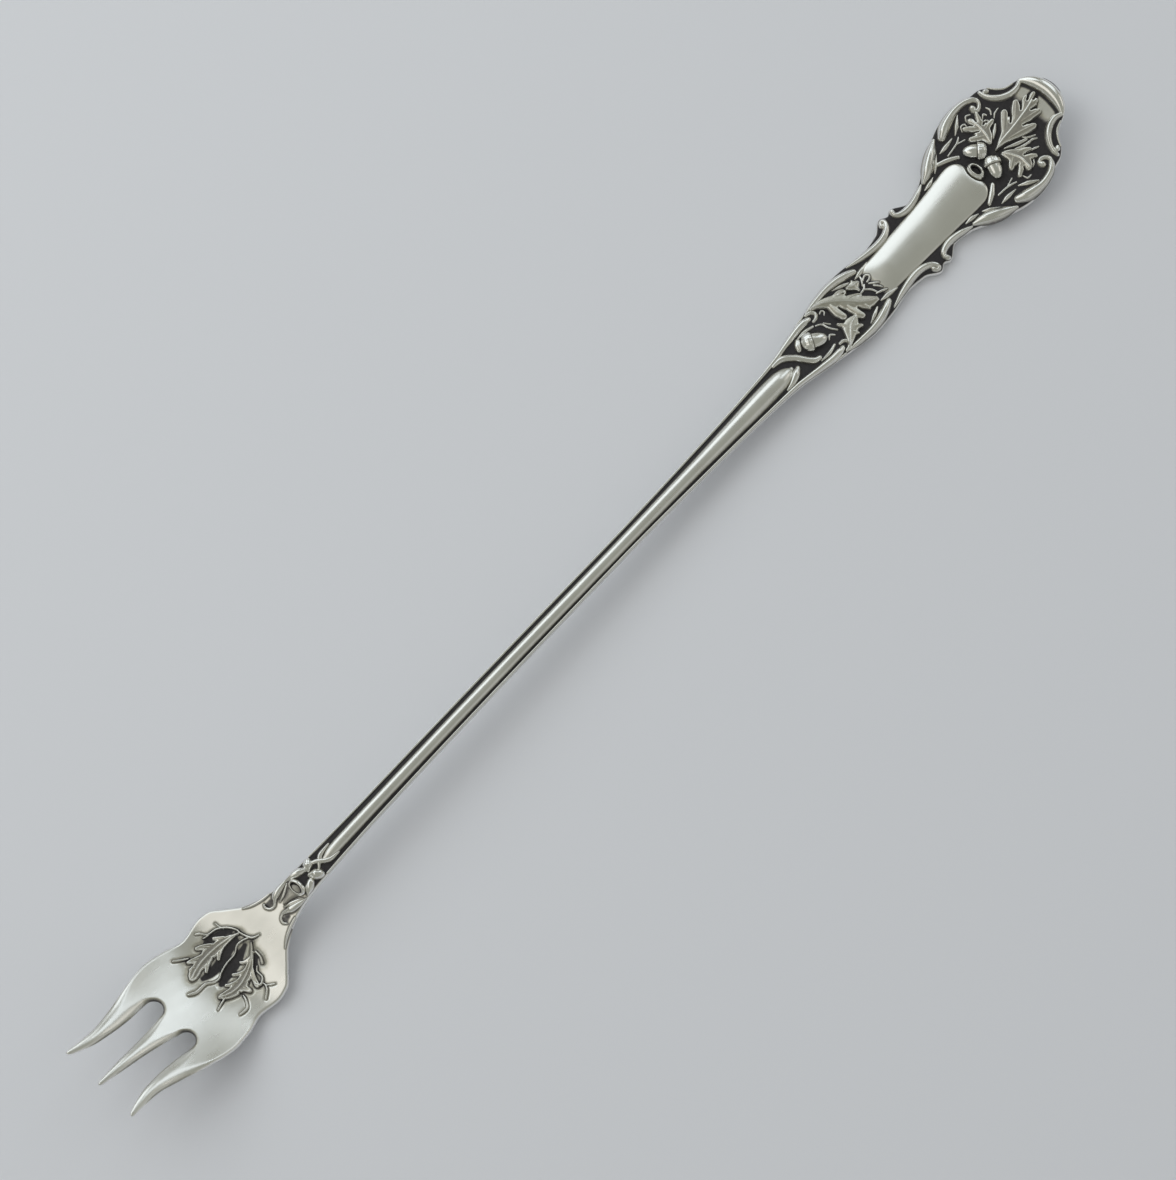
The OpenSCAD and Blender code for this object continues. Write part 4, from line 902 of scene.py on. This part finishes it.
# Painted shade: the middle of each leaf, away from its rim and veins, is darkened.
spray_leaf_form = leaf_form(spray_leaves, (0.75, 0.75, 0.75), 0.3, 0, 0.22,
                            lambda depth, inside: 0.2 + 0.75 * step(0, 0.12, depth) - 0.4 * inside)
relief_piece("spray_leaf_group", "spray_leaves", (147.8, -4.2, 157, 4.7), spray_leaf_form)

# The acorns: three smooth nuts, each an egg half sunk in its cup; one below the panel and two above it.
# They are raised with the leaves and burnished.
squat, scale_rows, scale_pitch = 0.8, 8, 9


def turned(profile, at, heading, size, height, sides=48, scales=0.0):
    """Points, faces and brightness of a form turned about a level axis, from (along, radius, bright) rows."""
    a = math.radians(heading)
    along, aside = np.array([math.cos(a), math.sin(a), 0]), np.array([-math.sin(a), math.cos(a), 0])
    turn = -np.linspace(0, 2 * math.pi, sides, endpoint=False)[None, :]
    s, r, bright = (size * profile[:, 0])[:, None], (size * profile[:, 1])[:, None], profile[:, 2][:, None]
    one_way, other_way = scale_rows * turn + scale_pitch * s, scale_rows * turn - scale_pitch * s
    r = r * (1 + scales * np.sin(one_way) * np.sin(other_way))
    base = np.array([at[0], at[1], float(seat(np.array(at[0]), np.array(at[1]))) + height])
    rings = (base + along * s[..., None] + aside * (r * np.cos(turn))[..., None]
             + np.array([0, 0, squat]) * (r * np.sin(turn))[..., None])
    points, skin, caps = loft(rings)
    foot = step(-0.05, 0.15, points[:, 2] - seat(points[:, 0], points[:, 1]))
    return points, np.vstack([skin, caps]), foot * (bright + 0 * turn).ravel()


def turned_piece(name, node, forms):
    start = np.cumsum([0] + [len(form[0]) for form in forms])
    make_piece(name, node, np.vstack([form[0] for form in forms]),
               np.vstack([form[1] + k for form, k in zip(forms, start)]),
               np.concatenate([form[2] for form in forms]), struck_silver)


# Each acorn: where its cup sits, the heading of its tip in degrees, its size
acorns = (((144.3, 0.85), -31, 1.14), ((182.95, 1.45), 134, 1.08), ((182.7, -0.8), -118, 1.08))
share = np.sin(np.linspace(0, math.pi / 2, 25))
egg_along = 0.2 + 2.35 * share
egg_radius = np.maximum(0.02, np.sqrt(np.maximum(0, 1 - np.abs(1.12 * share - 0.12) ** 2.5)))
egg = np.stack([egg_along, egg_radius, step(0.5, 0.85, egg_along)], -1)
turned_piece("acorn_nut_set", "acorn_nuts",
             [turned(egg, at, heading, size, 0.35) for at, heading, size in acorns])

# The acorns' cups: scaly caps that hold the nuts' thick ends, with a thin raised lip.
# Their scales lie in crossing rows.
cup = traced([(-0.85, 0.05, 1), (-0.8, 0.45, 1), (-0.62, 0.84, 1), (-0.3, 1.12, 1), (0.05, 1.25, 1),
              (0.32, 1.28, 1), (0.48, 1.26, 1), (0.55, 1.16, 0.5), (0.5, 0.9, 0)], 3)
turned_piece("acorn_cup_set", "acorn_cups",
             [turned(cup, at, heading, size, 0.32, 64, 0.04) for at, heading, size in acorns])


# The handle's empty cup: an oak cup that stands open at the panel's upper end.
# Its mouth is a dark oval in a thick bright lip.
def handle_cup_form(x, y):
    ring, bright = open_cup(x, y, cup_at, (1.0, cup_half), cup_at, (0.52, 0.95), 1.3)
    return ring, bright * step(0, 0.4, ring)


relief_piece("handle_cup", "handle_acorn_cup", (178.6, -2, 181.6, 2), handle_cup_form, grain=0.05)

# The handle's twigs: bare oak twigs that cross below the acorn, spread under the panel and flank the cup.
# Fine ones curl beside the crown's leaves. All are half round and end in blunt tips.
handle_twigs = traced_set(
    [(138.2, 2.1, 0.28), (139.5, 2, 0.44), (140.5, 1.45, 0.48), (141.4, 0.5, 0.48), (142.2, -0.75, 0.48),
     (142.9, -1.6, 0.46), (143.7, -1.85, 0.36)],
    [(136.9, -1.85, 0.14), (138.2, -1.65, 0.4), (139.5, -1.15, 0.54), (140.3, -0.75, 0.4)],
    [(142.65, 1.15, 0.42), (142.9, 1.6, 0.46), (143.4, 2.05, 0.4)],
    [(147.1, 1.85, 0.13), (147.85, 1.35, 0.16), (148.1, 0.3, 0.16), (148.75, -0.85, 0.14)],
    [(148.2, 1.3, 0.1), (148.7, 0.5, 0.12)],
    [(146.8, -1, 0.12), (147.4, -0.6, 0.16), (147.9, -1.1, 0.12)],
    [(148.9, 2.7, 0.12), (149.4, 2.85, 0.14), (149.55, 2.4, 0.13), (149.2, 2.1, 0.1)],
    [(177.5, 5.05, 0.3), (178.8, 4.45, 0.36), (180.2, 3.5, 0.3)],
    [(177.8, -4.6, 0.3), (179.1, -3.9, 0.42), (180.2, -3.1, 0.36)],
    [(179.5, 4.8, 0.12), (181.5, 5, 0.16), (182.5, 5.45, 0.12)],
    [(181.5, 5, 0.1), (182.8, 4.5, 0.12)],
    [(179.6, -4.75, 0.12), (181.3, -4.95, 0.16), (182.7, -5.45, 0.12)],
    [(181.3, -4.9, 0.1), (182.7, -4.6, 0.12)],
    [(186.7, 4.5, 0.1), (187.3, 4.9, 0.16), (187.5, 4.5, 0.14)],
    [(188, 4, 0.1), (188.4, 4.6, 0.16), (188.3, 5.2, 0.12)],
    [(187, -3.8, 0.1), (188, -4.2, 0.18), (188.6, -4.5, 0.12)],
    [(187.6, -2.9, 0.1), (188.8, -3.1, 0.18), (189.4, -3.5, 0.12)],
    [(183.5, 5.6, 0.1), (183.9, 6.2, 0.14), (184.5, 6.1, 0.14), (184.5, 5.6, 0.1)],
    [(185, 6.1, 0.1), (185.5, 6.7, 0.15), (186.1, 6.4, 0.12)],
    [(186.2, 4.2, 0.1), (186.9, 4, 0.14), (187.1, 3.4, 0.1)],
    [(187.9, 3.3, 0.1), (188.5, 3.7, 0.15), (189.3, 3.8, 0.1)],
    [(184, -5.6, 0.1), (184.2, -6.3, 0.14), (184.8, -6.4, 0.12)],
    [(185.8, -5.8, 0.1), (186.4, -5.6, 0.15), (186.8, -5.1, 0.12)],
    [(188.2, -1.6, 0.1), (188.6, -2.3, 0.16), (189.6, -3, 0.12)],
) + tangle


def handle_ground(x, y):
    return seat(x, y) + np.maximum(panel_form(x, y)[0], 0)


stouter = (1, 1, 1.25)
moulding("handle_twig_set", "handle_twigs", [twig * stouter for twig in handle_twigs], 1.1, wear=0.3,
         ground=handle_ground)

# The floor, the room and the lamps: a plain pale sheet under soft boxes that stand for windows and walls.
# The room is darker where the silver mirrors it. The side lamp lights the sheet and isn't mirrored.
floor_mesh = bpy.data.meshes.new("floor")
floor_mesh.from_pydata([(-2, -2, 0), (2, -2, 0), (2, 2, 0), (-2, 2, 0)], [], [(0, 1, 2, 3)])
floor = into_scene("floor", floor_mesh)
paper = bpy.data.materials.new("pale_floor")
paper.use_nodes = True
paper_shader = paper.node_tree.nodes["Principled BSDF"]
paper_shader.inputs["Base Color"].default_value = (0.7, 0.72, 0.735, 1)
paper_shader.inputs["Roughness"].default_value = 0.8
floor_mesh.materials.append(paper)

world = bpy.data.worlds.new("room")
bpy.context.scene.world = world
world.use_nodes = True
room = world.node_tree
add_to_room = node_maker(room)
mirrored = add_to_room("ShaderNodeLightPath")["Is Glossy Ray"]
plain_light, mirrored_light = (0.43, 0.428, 0.435, 1), (0.285, 0.29, 0.25, 1)
seen = blend(add_to_room, mirrored, plain_light, mirrored_light)
room.links.new(seen, room.nodes["Background"].inputs["Color"])


def softbox(name, azimuth, elevation, width, height, level, colour, distance=1.2):
    """A rectangular lamp that faces the fork. Angles are in degrees, and level is its brightness."""
    a, e = math.radians(azimuth), math.radians(elevation)
    away = Vector((math.cos(a) * math.cos(e), math.sin(a) * math.cos(e), math.sin(e)))
    lamp = bpy.data.lights.new(name, "AREA")
    lamp.shape = "RECTANGLE"
    lamp.size, lamp.size_y = width, height
    lamp.energy = level * math.pi * width * height
    lamp.color = colour
    light = into_scene(name, lamp)
    light.location = away * distance
    light.rotation_euler = away.to_track_quat("Z", "Y").to_euler()
    return light


softbox("window", 84, 38, 1.4, 0.86, 0.86, (0.89, 0.96, 1))
softbox("warm_wall", 150, 56, 0.8, 0.66, 0.6, (1, 0.965, 0.9))
softbox("far_window", 15, 36, 0.5, 0.88, 0.78, (0.86, 0.94, 1))
softbox("near_wall", -80, 22, 1.2, 0.5, 0.16, (0.97, 0.96, 1))
softbox("low_wall", -26, 28, 0.5, 0.5, 0.55, (1, 0.97, 0.92))
softbox("side_lamp", 105, 50, 0.4, 0.4, 1.1, (1, 1, 1), 0.55).visible_glossy = False

# The camera: high above the tine end, rolled so that the fork runs from lower left to upper right.
# Its long lens keeps the fork's sides nearly parallel.
azimuth, elevation, roll = math.radians(-123.8), math.radians(73.5), math.radians(-14.1)
aim, distance = Vector((-0.00253, -0.00056, 0.00287)), 0.4611
level = math.cos(elevation)
away = Vector((level * math.cos(azimuth), level * math.sin(azimuth), math.sin(elevation)))
right = Vector((0, 0, 1)).cross(away).normalized()
up = away.cross(right)
rolled_right = math.cos(roll) * right + math.sin(roll) * up
rolled_up = math.cos(roll) * up - math.sin(roll) * right
camera = into_scene("camera", bpy.data.cameras.new("camera"))
camera.data.lens = 99.5
camera.data.clip_start = 0.01
turned_to = Matrix((rolled_right, rolled_up, away)).transposed().to_4x4()
camera.matrix_world = Matrix.Translation(aim + distance * away) @ turned_to
bpy.context.scene.camera = camera

bpy.context.scene.view_settings.view_transform = "Standard"
